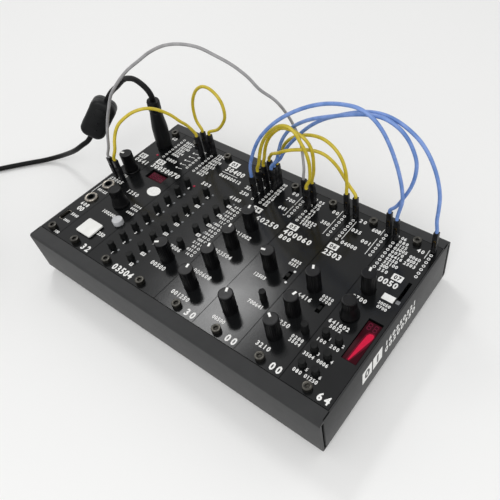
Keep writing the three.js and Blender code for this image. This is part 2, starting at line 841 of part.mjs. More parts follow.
function patchLeads() {
  return [
    patchLead("grey_lead", supplyHole(0), rightHole("mixer", 6), greyLeadRadius, greySleeve, [
      [7.5, 50.4, 22.3], [9.8, 51.4, 30.1], [12.6, 52.9, 38.9], [16.2, 54.4, 47.2], [20.4, 56.4, 56],
      [26.8, 58.7, 63.9], [34, 61.4, 71], [41.2, 64.4, 76.5], [48.3, 67.3, 81.6], [55.7, 70.3, 85.1],
      [63, 73.5, 86.1], [70.3, 76.6, 85], [77.2, 79.3, 81.6], [83.8, 82, 77.5], [89.1, 84.6, 72.1],
      [92.4, 88, 64.5], [97.2, 92, 58.1], [99.5, 95.8, 49.9], [101.5, 98.4, 41.2], [104.4, 98.8, 31.9],
      [106.5, 97, 23.4], [108.9, 94, 19.3],
    ]),
    patchLead("yellow_lead_1", supplyHole(2), rightHole("control", 5), leadRadius, yellowSleeve, [
      [11.6, 51.2, 21.8], [11.7, 53, 26.6], [12.5, 55.2, 31.4], [13.8, 57.7, 35], [16.3, 61.2, 38],
      [19.4, 65.4, 40.2], [22.9, 70.5, 40.5], [25.4, 74.6, 38.6], [27.8, 77.8, 35.8], [29.8, 80.8, 32.2],
      [31.4, 83.6, 27.5], [32.8, 86.8, 22.8],
    ]),
    patchLead("yellow_lead_2", rightHole("control", 7), leftHole("sequencer", 7), leadRadius, yellowSleeve, [
      [32.1, 94.6, 20.6], [32, 94.4, 27.3], [33.5, 94.2, 33.9], [36.6, 94, 40], [40.5, 93.9, 44.8],
      [45.4, 93.8, 48], [49.9, 93.8, 48.4], [54.1, 93.8, 46.5], [57.1, 93.9, 42.6], [57.9, 94, 37.5],
      [57, 94.2, 32.3], [53.5, 94.4, 26.5], [48.4, 94.5, 21],
    ]),
    patchLead("yellow_lead_3", rightHole("sequencer", 3), leftHole("drum", 4), leadRadius, yellowSleeve, [
      [86.6, 84.4, 20.4], [88.3, 84.3, 26.4], [90, 84.3, 31.8], [92.6, 84.4, 37.5], [96.1, 84.5, 42.9],
      [100.3, 84.7, 47.6], [105.1, 84.9, 51], [109.5, 85.2, 51.7], [112.7, 85.6, 49.3], [114.8, 86, 45],
      [117, 86.4, 40.1], [118.4, 86.8, 33.6], [118.4, 87, 27.3], [117.6, 87.1, 21.3],
    ]),
    patchLead("yellow_lead_4", rightHole("sequencer", 5), leftHole("drum", 6), leadRadius, yellowSleeve, [
      [86.3, 89.4, 20.3], [88.1, 89, 26.4], [90.6, 88.5, 32.5], [94.2, 88, 38.5], [98.5, 87.8, 43.6],
      [103, 87.8, 47.1], [107.8, 87.9, 48], [112.1, 88.2, 47.1], [115.7, 88.8, 44.8],
      [117.9, 89.6, 40.6], [118.2, 90.6, 34.7], [117.6, 91.4, 28.3], [116.7, 91.9, 22],
    ]),
    patchLead("yellow_lead_5", rightHole("sequencer", 7), leftHole("bass_drum", 7), leadRadius, yellowSleeve, [
      [86.8, 93.8, 19], [90.8, 91, 24], [97.6, 88.4, 29.3], [102.8, 87.4, 33.3], [106.9, 87.8, 35.4],
      [110.1, 89, 36.1], [113, 90.6, 36.2], [115.8, 92.4, 35.8], [118.6, 94.2, 34.8],
      [121.8, 95.6, 33.1], [124.9, 96.6, 30.4], [127.8, 97.3, 26.9], [130.4, 97.8, 22.6],
      [133.5, 97.5, 18.6],
    ]),
    patchLead("yellow_lead_6", leftHole("mixer", 7), rightHole("drum", 7), leadRadius, yellowSleeve, [
      [92.4, 95.4, 18.6], [93.4, 96, 23.2], [95.5, 96.5, 28.3], [99.6, 96.7, 33.3], [104.6, 96.7, 37.2],
      [109.9, 96.6, 39.9], [115.5, 96.4, 41.7], [120.9, 96.2, 42.1], [125.6, 95.9, 40.7],
      [129.5, 95.5, 38.1], [132.4, 95.1, 34.4], [134, 94.9, 29.7], [134.7, 94.8, 24.6],
      [134.9, 94.7, 19.9],
    ]),
    patchLead("blue_lead_1", rightHole("sequencer", 1), leftHole("sampler", 6), leadRadius, blueSleeve, [
      [85.2, 79.3, 21.1], [87.6, 79.2, 28.1], [90.7, 79.3, 35.3], [94.6, 79.7, 42.5], [99.2, 80.4, 48.8],
      [104.7, 81.4, 54.8], [111.1, 82.6, 60.3], [117.9, 83.9, 65], [124.8, 85.2, 68.7],
      [131.6, 86.5, 71.2], [138.6, 87.8, 72.4], [145.5, 88.6, 72.5], [151.7, 89.2, 69.8],
      [156.2, 89.8, 64.9], [159.6, 90.5, 58.3], [162.3, 91.2, 50.9], [164.4, 92, 43], [166.2, 92.2, 35],
      [166.9, 92.3, 27.1], [165.7, 92.2, 20],
    ]),
    patchLead("blue_lead_2", leftHole("mixer", 5), rightHole("bass_drum", 7), leadRadius, blueSleeve, [
      [93.5, 90.9, 21], [95, 91.5, 26.3], [97.6, 91.4, 33.3], [100.9, 91.5, 39.5], [105.9, 91.5, 45.9],
      [112, 91.5, 51.2], [118.7, 91.5, 55.6], [125.9, 91.5, 59.3], [133.2, 91.6, 62.6],
      [140.8, 91.8, 65.8], [148.3, 92, 68.2], [155.5, 92.4, 68.8], [161.7, 93, 66.4], [165.9, 94, 61.8],
      [168.7, 94.8, 56.1], [170.6, 95.2, 49.9], [170.6, 95.4, 42.5], [169.1, 95.3, 34.8],
      [166.1, 95.1, 26.9], [162.6, 94.9, 19.5],
    ]),
    patchLead("blue_lead_3", leftHole("mixer", 6), rightHole("sampler", 7), leadRadius, blueSleeve, [
      [93.8, 93.3, 20.2], [95.9, 93.9, 24.3], [99.5, 94, 30.1], [104.3, 94.2, 36.4], [109.7, 94.3, 43],
      [116.2, 94.3, 49.7], [123.5, 94.3, 55.6], [130.8, 94.3, 60], [138.4, 94.4, 64.1],
      [146.4, 94.6, 67.4], [153.9, 95, 68.4], [160.3, 95.4, 67.2], [166.3, 95.7, 64.4],
      [171.2, 96.1, 60.5], [175.2, 96.2, 55.6], [178.7, 96, 49.7], [181.4, 95.7, 43.1],
      [183.2, 95.3, 36], [183.7, 95, 28.4], [183.8, 94.8, 21.3],
    ]),
  ];
}

// Power lead
const plugLean = THREE.MathUtils.degToRad(plugLeanDegrees);

function dcPlug() {
  const profile = [
    [0, -barrelLength],
    [barrelRadius, -barrelLength],
    [barrelRadius, plugLift],
    [plugBaseRadius, plugLift],
    [plugWaistRadius, plugWaistHeight],
    [plugNeckRadius, plugNeckHeight],
    [plugCollarRadius, plugCollarBottom],
    [plugCollarRadius, plugHeight],
    [0, plugHeight],
  ];
  const mesh = piece("dc_plug", turned(profile, ringSides), softPlastic);
  mesh.position.set(dcX, dcY, 0);
  mesh.rotation.y = plugLean;
  return mesh;
}

const chokeAxis = new THREE.Vector3(...chokeAxisShares).normalize();
const chokeMiddle = new THREE.Vector3(...chokeCentre);

// The lead's way from the plug over the choke down to the table, where the coil starts.
function cablePoints() {
  const lean = new THREE.Vector3(Math.sin(plugLean), 0, Math.cos(plugLean));
  const start = new THREE.Vector3(dcX, dcY, 0).addScaledVector(lean, plugHeight + runningGap);
  const half = chokeLength / 2 + chokeLead;
  const throughChoke = [-half, -chokeLength / 4, chokeLength / 4, half];
  const arc = [
    [11.6, 84.5, 36.2], [10.3, 84.6, 38.9], [7.8, 84.7, 41], [4.7, 84.9, 42.2], [1.4, 85, 43],
    [-2.1, 85.2, 42.8], [-5.5, 85.3, 41.9], [-8.8, 85.5, 40.7], [-12.6, 85.5, 38.5], [-16, 85.1, 35.8],
    [-19.7, 84.9, 32.7],
  ];
  const drop = [
    [-44.2, 60.5, -4.3], [-49.7, 58.6, -8.5], [-55.4, 58, -12.3], [-61.7, 58, -16.2],
    [-68.5, 57.8, -20.2], [-75, 56.6, -23.6], [-81.1, 53.8, -26], [-86.6, 49.6, -27.3],
    [-92.2, 44.2, -27.6], [-98.1, 37.6, -27.6], [-104.2, 30.5, -27.6], [-110.4, 23, -27.6],
    [-117, 15.4, -27.6],
  ];
  return [
    start,
    ...arc.map((place) => new THREE.Vector3(...place)),
    ...throughChoke.map((reach) => chokeMiddle.clone().addScaledVector(chokeAxis, reach)),
    ...drop.map((place) => new THREE.Vector3(...place)),
  ];
}

const coilFirst = THREE.MathUtils.degToRad(coilStartDegrees);
const coilStart = new THREE.Vector3(
  coilX + coilRadius * Math.cos(coilFirst),
  coilY + coilRadius * Math.sin(coilFirst),
  floorZ + cableRadius,
);
const coilHeading = new THREE.Vector3(-Math.sin(coilFirst), Math.cos(coilFirst), 0);

function dcLead() {
  const diameter = 2 * cableRadius;
  const end = coilStart.clone().addScaledVector(coilHeading, -diameter - runningGap);
  const curve = smoothCurve([...cablePoints(), end]);
  console.log("dc_lead", Math.round(curve.getLength()), "mm");
  const steps = Math.round(curve.getLength() / cableStep);
  return piece("dc_lead", tube(curve, cableRadius, leadSides, steps), blackRubber);
}

// The coil winds inwards on the table, climbs a layer and winds out again above itself.
function coilPoints() {
  const turn = 2 * Math.PI;
  const ramp = THREE.MathUtils.degToRad(coilRampDegrees);
  const lastDegrees = coilEndDegrees - coilStartDegrees - coilRampDegrees;
  const outward = coilTurnCount * turn + THREE.MathUtils.degToRad(lastDegrees);
  const total = coilTurnCount * turn + ramp + outward;
  const count = Math.round((total / turn) * coilSteps);
  const points = [coilStart.clone().addScaledVector(coilHeading, -2 * cableRadius)];
  let last = coilFirst;
  for (let i = 0; i <= count; i += 1) {
    const wound = (total * i) / count;
    const inward = Math.min(wound, coilTurnCount * turn);
    const back = Math.max(0, wound - coilTurnCount * turn - ramp);
    const climb = Math.min(Math.max((wound - coilTurnCount * turn) / ramp, 0), 1);
    const radius = coilRadius - (coilPitch * (inward - back)) / turn;
    last = coilFirst + wound;
    points.push(
      new THREE.Vector3(
        coilX + radius * Math.cos(last),
        coilY + radius * Math.sin(last),
        floorZ + cableRadius + coilPitch * climb,
      ),
    );
  }
  const heading = new THREE.Vector3(-Math.sin(last), Math.cos(last), 0);
  const top = points[points.length - 1];
  const tailShares = [0.25, 0.5, 0.75, 1];
  const dropShares = [0, 0.35, 0.85, 1];
  tailShares.forEach((share, i) => {
    const place = top.clone().addScaledVector(heading, share * coilTail);
    place.z -= coilPitch * dropShares[i];
    points.push(place);
  });
  return { points, heading };
}

// Least distance between parts of a wound tube that are not neighbours along it, less its diameter.
function leastGap(points, radius, apart) {
  let along = 0;
  const places = points.map((point, i) => {
    if (i) along += point.distanceTo(points[i - 1]);
    return [point, along];
  });
  let least = Infinity;
  places.forEach(([a, s], i) => {
    for (const [b, t] of places.slice(i + 1)) {
      if (t - s > apart) least = Math.min(least, a.distanceTo(b));
    }
  });
  return least - 2 * radius;
}

const coil = coilPoints();
const gapSamplesPerPoint = 4;

function dcLeadCoil() {
  const curve = smoothCurve(coil.points);
  const fine = curve.getSpacedPoints(gapSamplesPerPoint * coil.points.length);
  const gap = leastGap(fine, cableRadius, Math.PI * (coilRadius - coilPitch * coilTurnCount));
  console.log("dc_lead_coil", Math.round(curve.getLength()), "mm, least gap", gap.toFixed(2));
  return piece("dc_lead_coil", tube(curve, cableRadius, coilSides, coil.points.length - 1), blackRubber);
}

// A choke in two clipped halves, bored for the lead.
function ferriteChoke() {
  const slab = roundedSlab(chokeLength, chokeWidth, chokeThickness, chokeCorner, chokeBevel);
  const bore = post(0, 0, cableRadius + chokeBoreGap, -chokeLength, chokeLength, holeSides);
  const body = made([slab.translate(0, 0, -chokeThickness / 2)], [bore.rotateY(Math.PI / 2)]);
  const mesh = piece("ferrite_choke", body, softPlastic);
  const face = new THREE.Vector3(...chokeFaceShares);
  const side = face.clone().cross(chokeAxis).normalize();
  face.copy(chokeAxis).cross(side);
  mesh.position.copy(chokeMiddle);
  mesh.setRotationFromMatrix(new THREE.Matrix4().makeBasis(chokeAxis, side, face));
  return mesh;
}

// The adaptor lies where the coil's tail ends, with a strain relief towards it.
function mainsAdaptor() {
  const frontX = reliefLength;
  const slab = roundedSlab(adaptorLength, adaptorWidth, adaptorHeight, adaptorCorner, chokeBevel);
  const solids = [slab.translate(frontX + adaptorLength / 2, 0, 0)];
  const sleeveLength = reliefLength + 2 * chokeBevel;
  const relief = new THREE.CylinderGeometry(reliefRadius, cableRadius, sleeveLength, holeSides);
  relief.rotateZ(-Math.PI / 2);
  solids.push(relief.translate(reliefLength / 2 + chokeBevel, 0, reliefRadius));
  const pinX = frontX + adaptorLength + mainsPinLength / 2 - chokeBevel;
  for (const sign of [-1, 1]) {
    const half = mainsPinLength / 2;
    const pin = post(0, 0, mainsPinRadius, -half - chokeBevel, half, holeSides);
    const y = (sign * mainsPinPitch) / 2;
    solids.push(pin.rotateY(Math.PI / 2).translate(pinX + chokeBevel, y, adaptorHeight / 2));
  }
  const mesh = piece("mains_adaptor", made(solids), softPlastic);
  const tail = coil.points[coil.points.length - 1];
  mesh.position.copy(tail).addScaledVector(coil.heading, runningGap);
  mesh.position.z = floorZ;
  mesh.rotation.z = Math.atan2(coil.heading.y, coil.heading.x);
  return mesh;
}

// The whole object
function caseFeet() {
  const places = [
    ["foot_front_left", footInset, footInset],
    ["foot_front_right", rowWidth - footInset, footInset],
    ["foot_rear_left", footInset, panelLength - footInset],
    ["foot_rear_right", rowWidth - footInset, panelLength - footInset],
  ];
  return places.map(([name, x, y]) => foot(name, x, y));
}

const row = new THREE.Group();
row.position.set(-rowWidth / 2, -(outerFrontY + outerRearY) / 2, -floorZ);
row.add(
  caseTray(),
  sidePlate("side_plate_left", -sidePlateThickness),
  sidePlate("side_plate_right", rowWidth),
  ...caseFeet(),
  screwRail("front_screw_rail", outerFrontY, 0),
  screwRail("rear_screw_rail", outerRearY, panelLength),
  supplyModule(),
  controlModule(),
  sequencerModule(),
  mixerModule(),
  drumModule(),
  bassDrumModule(),
  samplerModule(),
  ...patchLeads(),
  dcPlug(),
  dcLead(),
  ferriteChoke(),
  dcLeadCoil(),
  mainsAdaptor(),
);

const synthesizer = new THREE.Group();
synthesizer.add(row);

export default synthesizer;
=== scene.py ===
import math

import bmesh
import bpy
from mathutils import Matrix, Vector


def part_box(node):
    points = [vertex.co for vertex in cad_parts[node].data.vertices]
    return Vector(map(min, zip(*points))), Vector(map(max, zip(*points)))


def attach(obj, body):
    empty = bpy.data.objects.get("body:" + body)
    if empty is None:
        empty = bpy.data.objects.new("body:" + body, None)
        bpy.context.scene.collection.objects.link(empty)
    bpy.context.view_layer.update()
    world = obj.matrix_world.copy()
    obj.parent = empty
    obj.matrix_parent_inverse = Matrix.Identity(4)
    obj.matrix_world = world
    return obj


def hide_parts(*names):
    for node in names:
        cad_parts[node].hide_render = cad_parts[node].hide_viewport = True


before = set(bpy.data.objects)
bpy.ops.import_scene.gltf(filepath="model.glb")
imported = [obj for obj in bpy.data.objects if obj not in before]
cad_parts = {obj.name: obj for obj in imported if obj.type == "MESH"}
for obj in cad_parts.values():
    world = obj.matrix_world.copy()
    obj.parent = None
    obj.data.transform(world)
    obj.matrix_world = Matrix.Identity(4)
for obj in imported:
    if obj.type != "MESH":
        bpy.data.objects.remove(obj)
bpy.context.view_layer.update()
print("frame loaded")

# Places are written in millimetres in the row's frame: X from the row's left end, Y from the
# panels' front edge, Z from the panels' top. rowFrame turns them to metres in the part's frame.
mm = 0.001
sideSheet = 0.9
rowWidth = 187.5
panelLength = 99
tableZ = -29.2
trayLow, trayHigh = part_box("case_tray")
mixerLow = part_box("mixer_module")[0]
rowOrigin = Vector((trayLow.x + sideSheet * mm, mixerLow.y, trayHigh.z))
rowFrame = Matrix.Translation(rowOrigin) @ Matrix.Diagonal((mm, mm, mm, 1))
noTurn = Matrix.Identity(4)


def rowPoint(x, y, z=0):
    return rowFrame @ Vector((x, y, z))


# Camera
cameraView = {
    "place": (245.02, -69.08, 201.77),
    "forward": (-0.417743, 0.507007, -0.753946),
    "right": (0.814277, 0.577034, -0.063132),
    "lens": 38.6,
    "sensor": 36,
    "shiftX": -0.12807,
    "shiftY": -0.0066,
    "nearest": 0.01,
}


def makeCamera(view):
    lens = bpy.data.cameras.new("photoCamera")
    lens.lens = view["lens"]
    lens.sensor_width = view["sensor"]
    lens.shift_x = view["shiftX"]
    lens.shift_y = view["shiftY"]
    lens.clip_start = view["nearest"]
    eye = bpy.data.objects.new("photoCamera", lens)
    forward = Vector(view["forward"]).normalized()
    right = Vector(view["right"]).normalized()
    turn = Matrix((right, right.cross(forward), -forward)).transposed().to_4x4()
    eye.matrix_world = Matrix.Translation(rowPoint(*view["place"])) @ turn
    bpy.context.scene.collection.objects.link(eye)
    bpy.context.scene.camera = eye


makeCamera(cameraView)
bpy.context.scene.view_settings.view_transform = "Standard"
print("camera placed")


# Colours and material nodes
def hexColour(text):
    values = [int(text[i : i + 2], 16) / 255 for i in (1, 3, 5)]
    return (*[v / 12.92 if v <= 0.04045 else ((v + 0.055) / 1.055) ** 2.4 for v in values], 1)


def addNode(tree, kind, settings=None, links=None):
    node = tree.nodes.new(kind)
    for key, value in (settings or {}).items():
        if isinstance(key, int) or key in node.inputs:
            node.inputs[key].default_value = value
        else:
            setattr(node, key, value)
    for key, source in (links or {}).items():
        tree.links.new(source, node.inputs[key])
    return node


# A material with its shader. Two tones drift over toneSize millimetres and meet at the places given.
def newFinish(name, settings, tones, toneSize, detail=2, meet=(0, 1)):
    finish = bpy.data.materials.new(name)
    finish.use_nodes = True
    tree = finish.node_tree
    tree.nodes.clear()
    shader = addNode(tree, "ShaderNodeBsdfPrincipled", settings)
    addNode(tree, "ShaderNodeOutputMaterial", links={"Surface": shader.outputs[0]})
    place = addNode(tree, "ShaderNodeTexCoord").outputs["Object"]
    drift = {"Scale": 1 / (toneSize * mm), "Detail": detail}
    noise = addNode(tree, "ShaderNodeTexNoise", drift, {"Vector": place})
    ramp = addNode(tree, "ShaderNodeValToRGB", links={"Fac": noise.outputs["Fac"]})
    for element, tone, position in zip(ramp.color_ramp.elements, tones, meet):
        element.color = hexColour(tone)
        element.position = position
    tree.links.new(ramp.outputs["Color"], shader.inputs["Base Color"])
    return finish, tree, shader, place


# A grained surface: sizes in millimetres are those of the tone, of the roughness and of the grain,
# rough is from and to, and grain is the depth in millimetres and the strength it is pressed with.
def grainedFinish(name, tones, sizes, rough, grain, settings):
    toneSize, roughSize, grainSize = sizes
    finish, tree, shader, place = newFinish(name, settings, tones, toneSize, 3, (0.35, 0.65))
    patch = addNode(tree, "ShaderNodeTexNoise", {"Scale": 1 / (roughSize * mm), "Detail": 4}, {
        "Vector": place,
    })
    spread = addNode(tree, "ShaderNodeMapRange", {"To Min": rough[0], "To Max": rough[1]}, {
        "Value": patch.outputs["Fac"],
    })
    tree.links.new(spread.outputs["Result"], shader.inputs["Roughness"])
    skin = addNode(tree, "ShaderNodeTexNoise", {"Scale": 1 / (grainSize * mm), "Detail": 2}, {
        "Vector": place,
    })
    bump = addNode(tree, "ShaderNodeBump", {"Strength": grain[1], "Distance": grain[0] * mm}, {
        "Height": skin.outputs["Fac"],
    })
    tree.links.new(bump.outputs["Normal"], shader.inputs["Normal"])
    return finish


# Finishes, each named for the real surface
# Black solder mask over a routed board: near black, hard gloss, a slight waviness and dust
solderMask = grainedFinish(
    "glossSolderMask", ("#0d0e0f", "#121314"), (14, 9, 0.9), (0.14, 0.2), (0.01, 0.25),
    {"IOR": 1.5, "Specular IOR Level": 0.25},
)
# Powder coat on folded steel: soft dark sheen broken by a fine pebbled skin
powderCoat = grainedFinish(
    "blackPowderCoat", ("#0f1011", "#141516"), (22, 6, 0.45), (0.6, 0.72), (0.03, 0.35),
    {"IOR": 1.5, "Sheen Weight": 0.09, "Sheen Roughness": 0.5},
)
# Black oxide on socket screws: dark metal with a greasy sheen and paler rims
blackOxide = grainedFinish(
    "blackOxideSteel", ("#3a3936", "#52504b"), (1.6, 1, 0.25), (0.28, 0.42), (0.01, 0.3), {"Metallic": 0.9}
)
# Moulded ABS of the knobs: near black with a spark-eroded satin skin
knobAbs = grainedFinish(
    "mouldedKnobAbs", ("#040405", "#08080a"), (3, 2, 0.2), (0.28, 0.38), (0.012, 0.3),
    {"IOR": 1.5, "Specular IOR Level": 0.2},
)
# Soft-touch black caps of the tact switches: hardly any sheen
capAbs = grainedFinish(
    "mattBlackCapAbs", ("#090a0a", "#0f1010"), (2, 1.5, 0.2), (0.45, 0.6), (0.01, 0.3),
    {"IOR": 1.5, "Specular IOR Level": 0.18},
)
# Black crimp housings of the patch leads: nylon with a slight shine
housingNylon = grainedFinish(
    "blackHousingNylon", ("#0c0c0e", "#121214"), (2, 1.5, 0.25), (0.32, 0.44), (0.01, 0.3),
    {"IOR": 1.5, "Specular IOR Level": 0.3},
)
# White ABS of the big pad: clean, faintly warm, with a soft satin shine
whiteAbs = grainedFinish(
    "whitePadAbs", ("#e6e6e2", "#eeeeeb"), (6, 3, 0.3), (0.35, 0.45), (0.01, 0.2),
    {"IOR": 1.5, "Subsurface Weight": 0.05, "Subsurface Radius": (mm, mm, mm)},
)
# Light grey ABS of the round button: even and satin
greyAbs = grainedFinish(
    "lightGreyAbs", ("#b4b5b7", "#c2c3c5"), (3, 2, 0.3), (0.4, 0.5), (0.01, 0.2), {"IOR": 1.5}
)
# Screen-printed epoxy ink: chalk white, flat, a little uneven where it crosses the mask
printInk = grainedFinish(
    "whitePrintInk", ("#e6e6e3", "#f4f4f2"), (0.8, 0.6, 0.15), (0.5, 0.65), (0.004, 0.3), {"IOR": 1.45}
)
# Grey filler ink: the same flat print let down with black
greyInk = grainedFinish(
    "greyPrintInk", ("#6d6e70", "#7c7d80"), (0.8, 0.6, 0.15), (0.5, 0.65), (0.004, 0.3), {"IOR": 1.45}
)
# Nickel plate on the jacks' collars, warm and slightly brushed
nickel = grainedFinish(
    "nickelPlate", ("#78736b", "#a8a299"), (1.4, 1, 0.2), (0.26, 0.4), (0.006, 0.2), {"Metallic": 1.0}
)
# Gilded contacts and pins: dull gold with a small glint
gilt = grainedFinish(
    "giltContact", ("#6e5a32", "#8e794e"), (1, 1, 0.2), (0.22, 0.34), (0.004, 0.2), {"Metallic": 1.0}
)
# PVC sleeve of the patch leads: even colour, soft highlight along the wire
sleeveTones = {
    "yellow": ("#beaa1a", "#d2bc38"),
    "blue": ("#5c80be", "#7896d2"),
    "grey": ("#8c8b8c", "#9e9d9e"),
}
sleeves = {
    colour: grainedFinish(
        colour + "PvcSleeve", tones, (5, 3, 0.5), (0.34, 0.46), (0.01, 0.25),
        {"IOR": 1.53, "Subsurface Weight": 0.04, "Subsurface Radius": (mm, mm, mm)},
    )
    for colour, tones in sleeveTones.items()
}
# Black PVC jacket of the power lead, dull with a faint bloom
cableJacket = grainedFinish(
    "blackCableJacket", ("#060607", "#0b0b0c"), (8, 4, 0.5), (0.42, 0.58), (0.02, 0.3),
    {"IOR": 1.5, "Specular IOR Level": 0.14},
)
# Overmoulded plug and choke shells: blue-black satin plastic
mouldedShell = grainedFinish(
    "satinMouldedShell", ("#08090a", "#0d0e10"), (6, 3, 0.4), (0.38, 0.5), (0.02, 0.35),
    {"IOR": 1.5, "Specular IOR Level": 0.21},
)
# Rubber of the feet and the coil's tie: dark and dry
footRubber = grainedFinish(
    "blackFootRubber", ("#151515", "#1c1c1c"), (3, 2, 0.4), (0.7, 0.85), (0.03, 0.4), {"IOR": 1.5}
)


# A coloured part that glows a little: its tones, their size in millimetres, roughness, gloss and glow.
def glowFinish(name, tones, toneSize, rough, gloss, glow, glowColour):
    settings = {
        "Roughness": rough, "Specular IOR Level": gloss, "Emission Strength": glow,
        "Emission Color": hexColour(glowColour),
    }
    return newFinish(name, settings, tones, toneSize)[0]


# Red acrylic window over the dark display: wine red, hardly shining, with a faint painted red glow over its
# whole face
redWindow = glowFinish("redAcrylicWindow", ("#23060c", "#320b14"), 2.4, 0.34, 0.05, 0.07, "#70142a")
# Lit segments behind the window: hot red, a little uneven
litSegment = glowFinish("litRedSegment", ("#a01430", "#c02446"), 0.9, 0.4, 0.05, 0.22, "#dc1434")
# Painted glow round the lit level: the halo of its red light in the acrylic, on a plate of its own
levelGlowHalo = glowFinish("paintedRedGlowHalo", ("#4a0c1c", "#5c1224"), 2, 0.4, 0.05, 0.12, "#a01430")
# Segments that glow only a little
dimSegment = glowFinish("dimRedSegment", ("#52162a", "#662036"), 2, 0.4, 0.05, 0.1, "#b02850")
# Clear lens of the small lights: milky grey when off
clearLens = glowFinish("milkyLens", ("#5a5c5e", "#848688"), 1, 0.15, 0.2, 0, "#ffffff")
# The same lens lit red
litLens = glowFinish("litRedLens", ("#78142a", "#a03048"), 1, 0.2, 0.2, 0.12, "#d02848")
print("finishes mixed")


# Mesh building, in millimetres: each builder adds closed solids to a bmesh. joinRings walls the rings
# in turn; a ring of one point makes a cone's tip, and capped closes the first and last ring.
def joinRings(bm, rings, capped=True):
    sides = max(len(ring) for ring in rings)
    for low, high in zip(rings, rings[1:]):
        for i in range(sides):
            j = (i + 1) % sides
            corners = (low[i % len(low)], low[j % len(low)], high[j % len(high)], high[i % len(high)])
            bm.faces.new(list(dict.fromkeys(corners)))
    if capped:
        bm.faces.new(rings[0][::-1])
        bm.faces.new(rings[-1])


# profile runs from (radius, height) on the axis back to the axis, or closes on itself round a bore.
# ribs is (count, depth, low, high): grooves pressed into the wall between two heights.
def turned(bm, x, y, profile, sides, ribs=(0, 0, 0, 0)):
    count, depth, low, high = ribs
    rings = []
    for radius, height in profile:
        press = depth / 2 if radius and low <= height <= high else 0
        ring = []
        for i in range(sides if radius else 1):
            angle = 2 * math.pi * i / sides
            reach = radius - press * (1 + math.cos(count * angle))
            ring.append(bm.verts.new((x + reach * math.cos(angle), y + reach * math.sin(angle), height)))
        rings.append(ring)
    closed = profile[0][0] > 0
    joinRings(bm, [*rings, rings[0]] if closed else rings, False)


def slab(bm, x0, x1, y0, y1, z0, z1, bevel=0, segments=2, turn=noTurn):
    middle = turn @ Matrix.Translation(((x0 + x1) / 2, (y0 + y1) / 2, (z0 + z1) / 2))
    size = Matrix.Diagonal((x1 - x0, y1 - y0, z1 - z0, 1))
    corners = bmesh.ops.create_cube(bm, size=1, matrix=middle @ size)["verts"]
    if bevel:
        edges = list({edge for corner in corners for edge in corner.link_edges})
        bmesh.ops.bevel(bm, geom=edges, offset=bevel, segments=segments, affect="EDGES", profile=0.5)


def slabAt(bm, x, y, width, length, z0, z1, bevel=0, segments=2, turn=noTurn):
    half, deep = width / 2, length / 2
    slab(bm, x - half, x + half, y - deep, y + deep, z0, z1, bevel, segments, turn)


# An upright plate from an outline of (x, y) points.
def plate(bm, outline, z0, z1, turn=noTurn):
    joinRings(bm, [[bm.verts.new(turn @ Vector((x, y, z))) for x, y in outline] for z in (z0, z1)])


def arc(x, y, radius, start, finish, steps):
    angles = [math.radians(start + (finish - start) * i / steps) for i in range(steps + 1)]
    return [(x + radius * math.cos(a), y + radius * math.sin(a)) for a in angles]


def roundRectangle(x, y, width, length, corner, steps=4):
    across, along = width / 2 - corner, length / 2 - corner
    outline = []
    for quarter, (signX, signY) in enumerate(((1, 1), (-1, 1), (-1, -1), (1, -1))):
        start = 90 * quarter
        outline += arc(x + signX * across, y + signY * along, corner, start, start + 90, steps)
    return outline


# A rounded block as rings of one outline that draws in: rows are (inset, height).
def roundBlock(bm, x, y, width, length, corner, rows, steps=4):
    rings = []
    for inset, height in rows:
        outline = roundRectangle(x, y, width - 2 * inset, length - 2 * inset, corner - inset, steps)
        rings.append([bm.verts.new((px, py, height)) for px, py in outline])
    joinRings(bm, rings)


# A finished piece in the scene: on its body, and in the place of the nodes it stands for.
def addPiece(name, data, finish, stands, body):
    data.materials.append(finish)
    made = bpy.data.objects.new(name, data)
    bpy.context.scene.collection.objects.link(made)
    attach(made, body)
    if stands:
        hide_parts(*stands)
    return made


# The piece of a finished bmesh: placed, its faces outward, smooth but for its sharp edges.
def makePiece(name, bm, finish, slotName, *stands, body="case", turn=noTurn, sharp=35):
    bmesh.ops.recalc_face_normals(bm, faces=bm.faces)
    bm.transform(rowFrame @ turn)
    mesh = bpy.data.meshes.new(name)
    bm.to_mesh(mesh)
    bm.free()
    mesh.shade_smooth()
    mesh.set_sharp_from_angle(angle=math.radians(sharp))
    return addPiece(name, mesh, finish, stands, body)


# Leads. A route's points are its centreline, joined by a centripetal spline as the solids' are.
def smoothPath(points, steps):
    ends = [points[0] * 2 - points[1], *points, points[-1] * 2 - points[-2]]
    path = []
    for before, start, finish, after in zip(ends, ends[1:], ends[2:], ends[3:]):
        stretches = (start - before, finish - start, after - finish)
        gapIn, gap, gapOut = [stretch.length ** 0.5 for stretch in stretches]
        leave = (start - before) / gapIn - (finish - before) / (gapIn + gap) + (finish - start) / gap
        arrive = (finish - start) / gap - (after - start) / (gap + gapOut) + (after - finish) / gapOut
        for i in range(steps):
            t = i / steps
            path.append(
                (2 * t**3 - 3 * t**2 + 1) * start
                + (t**3 - 2 * t**2 + t) * leave * gap
                + (3 * t**2 - 2 * t**3) * finish
                + (t**3 - t**2) * arrive * gap
            )
    return path + [points[-1]]


# The wire of a route and its length.
def makeWire(name, points, radius, finish, stands, steps):
    path = smoothPath([Vector(point) for point in points], steps)
    line = bpy.data.curves.new(name, "CURVE")
    line.dimensions = "3D"
    line.bevel_depth = radius * mm
    line.bevel_resolution = 4
    line.use_fill_caps = True
    spline = line.splines.new("POLY")
    spline.points.add(len(path) - 1)
    for knot, point in zip(spline.points, path):
        knot.co = (*(rowFrame @ point), 1)
    spline.use_smooth = True
    wire = addPiece(name, line, finish, stands, "case")
    return wire, sum((b - a).length for a, b in zip(path, path[1:]))


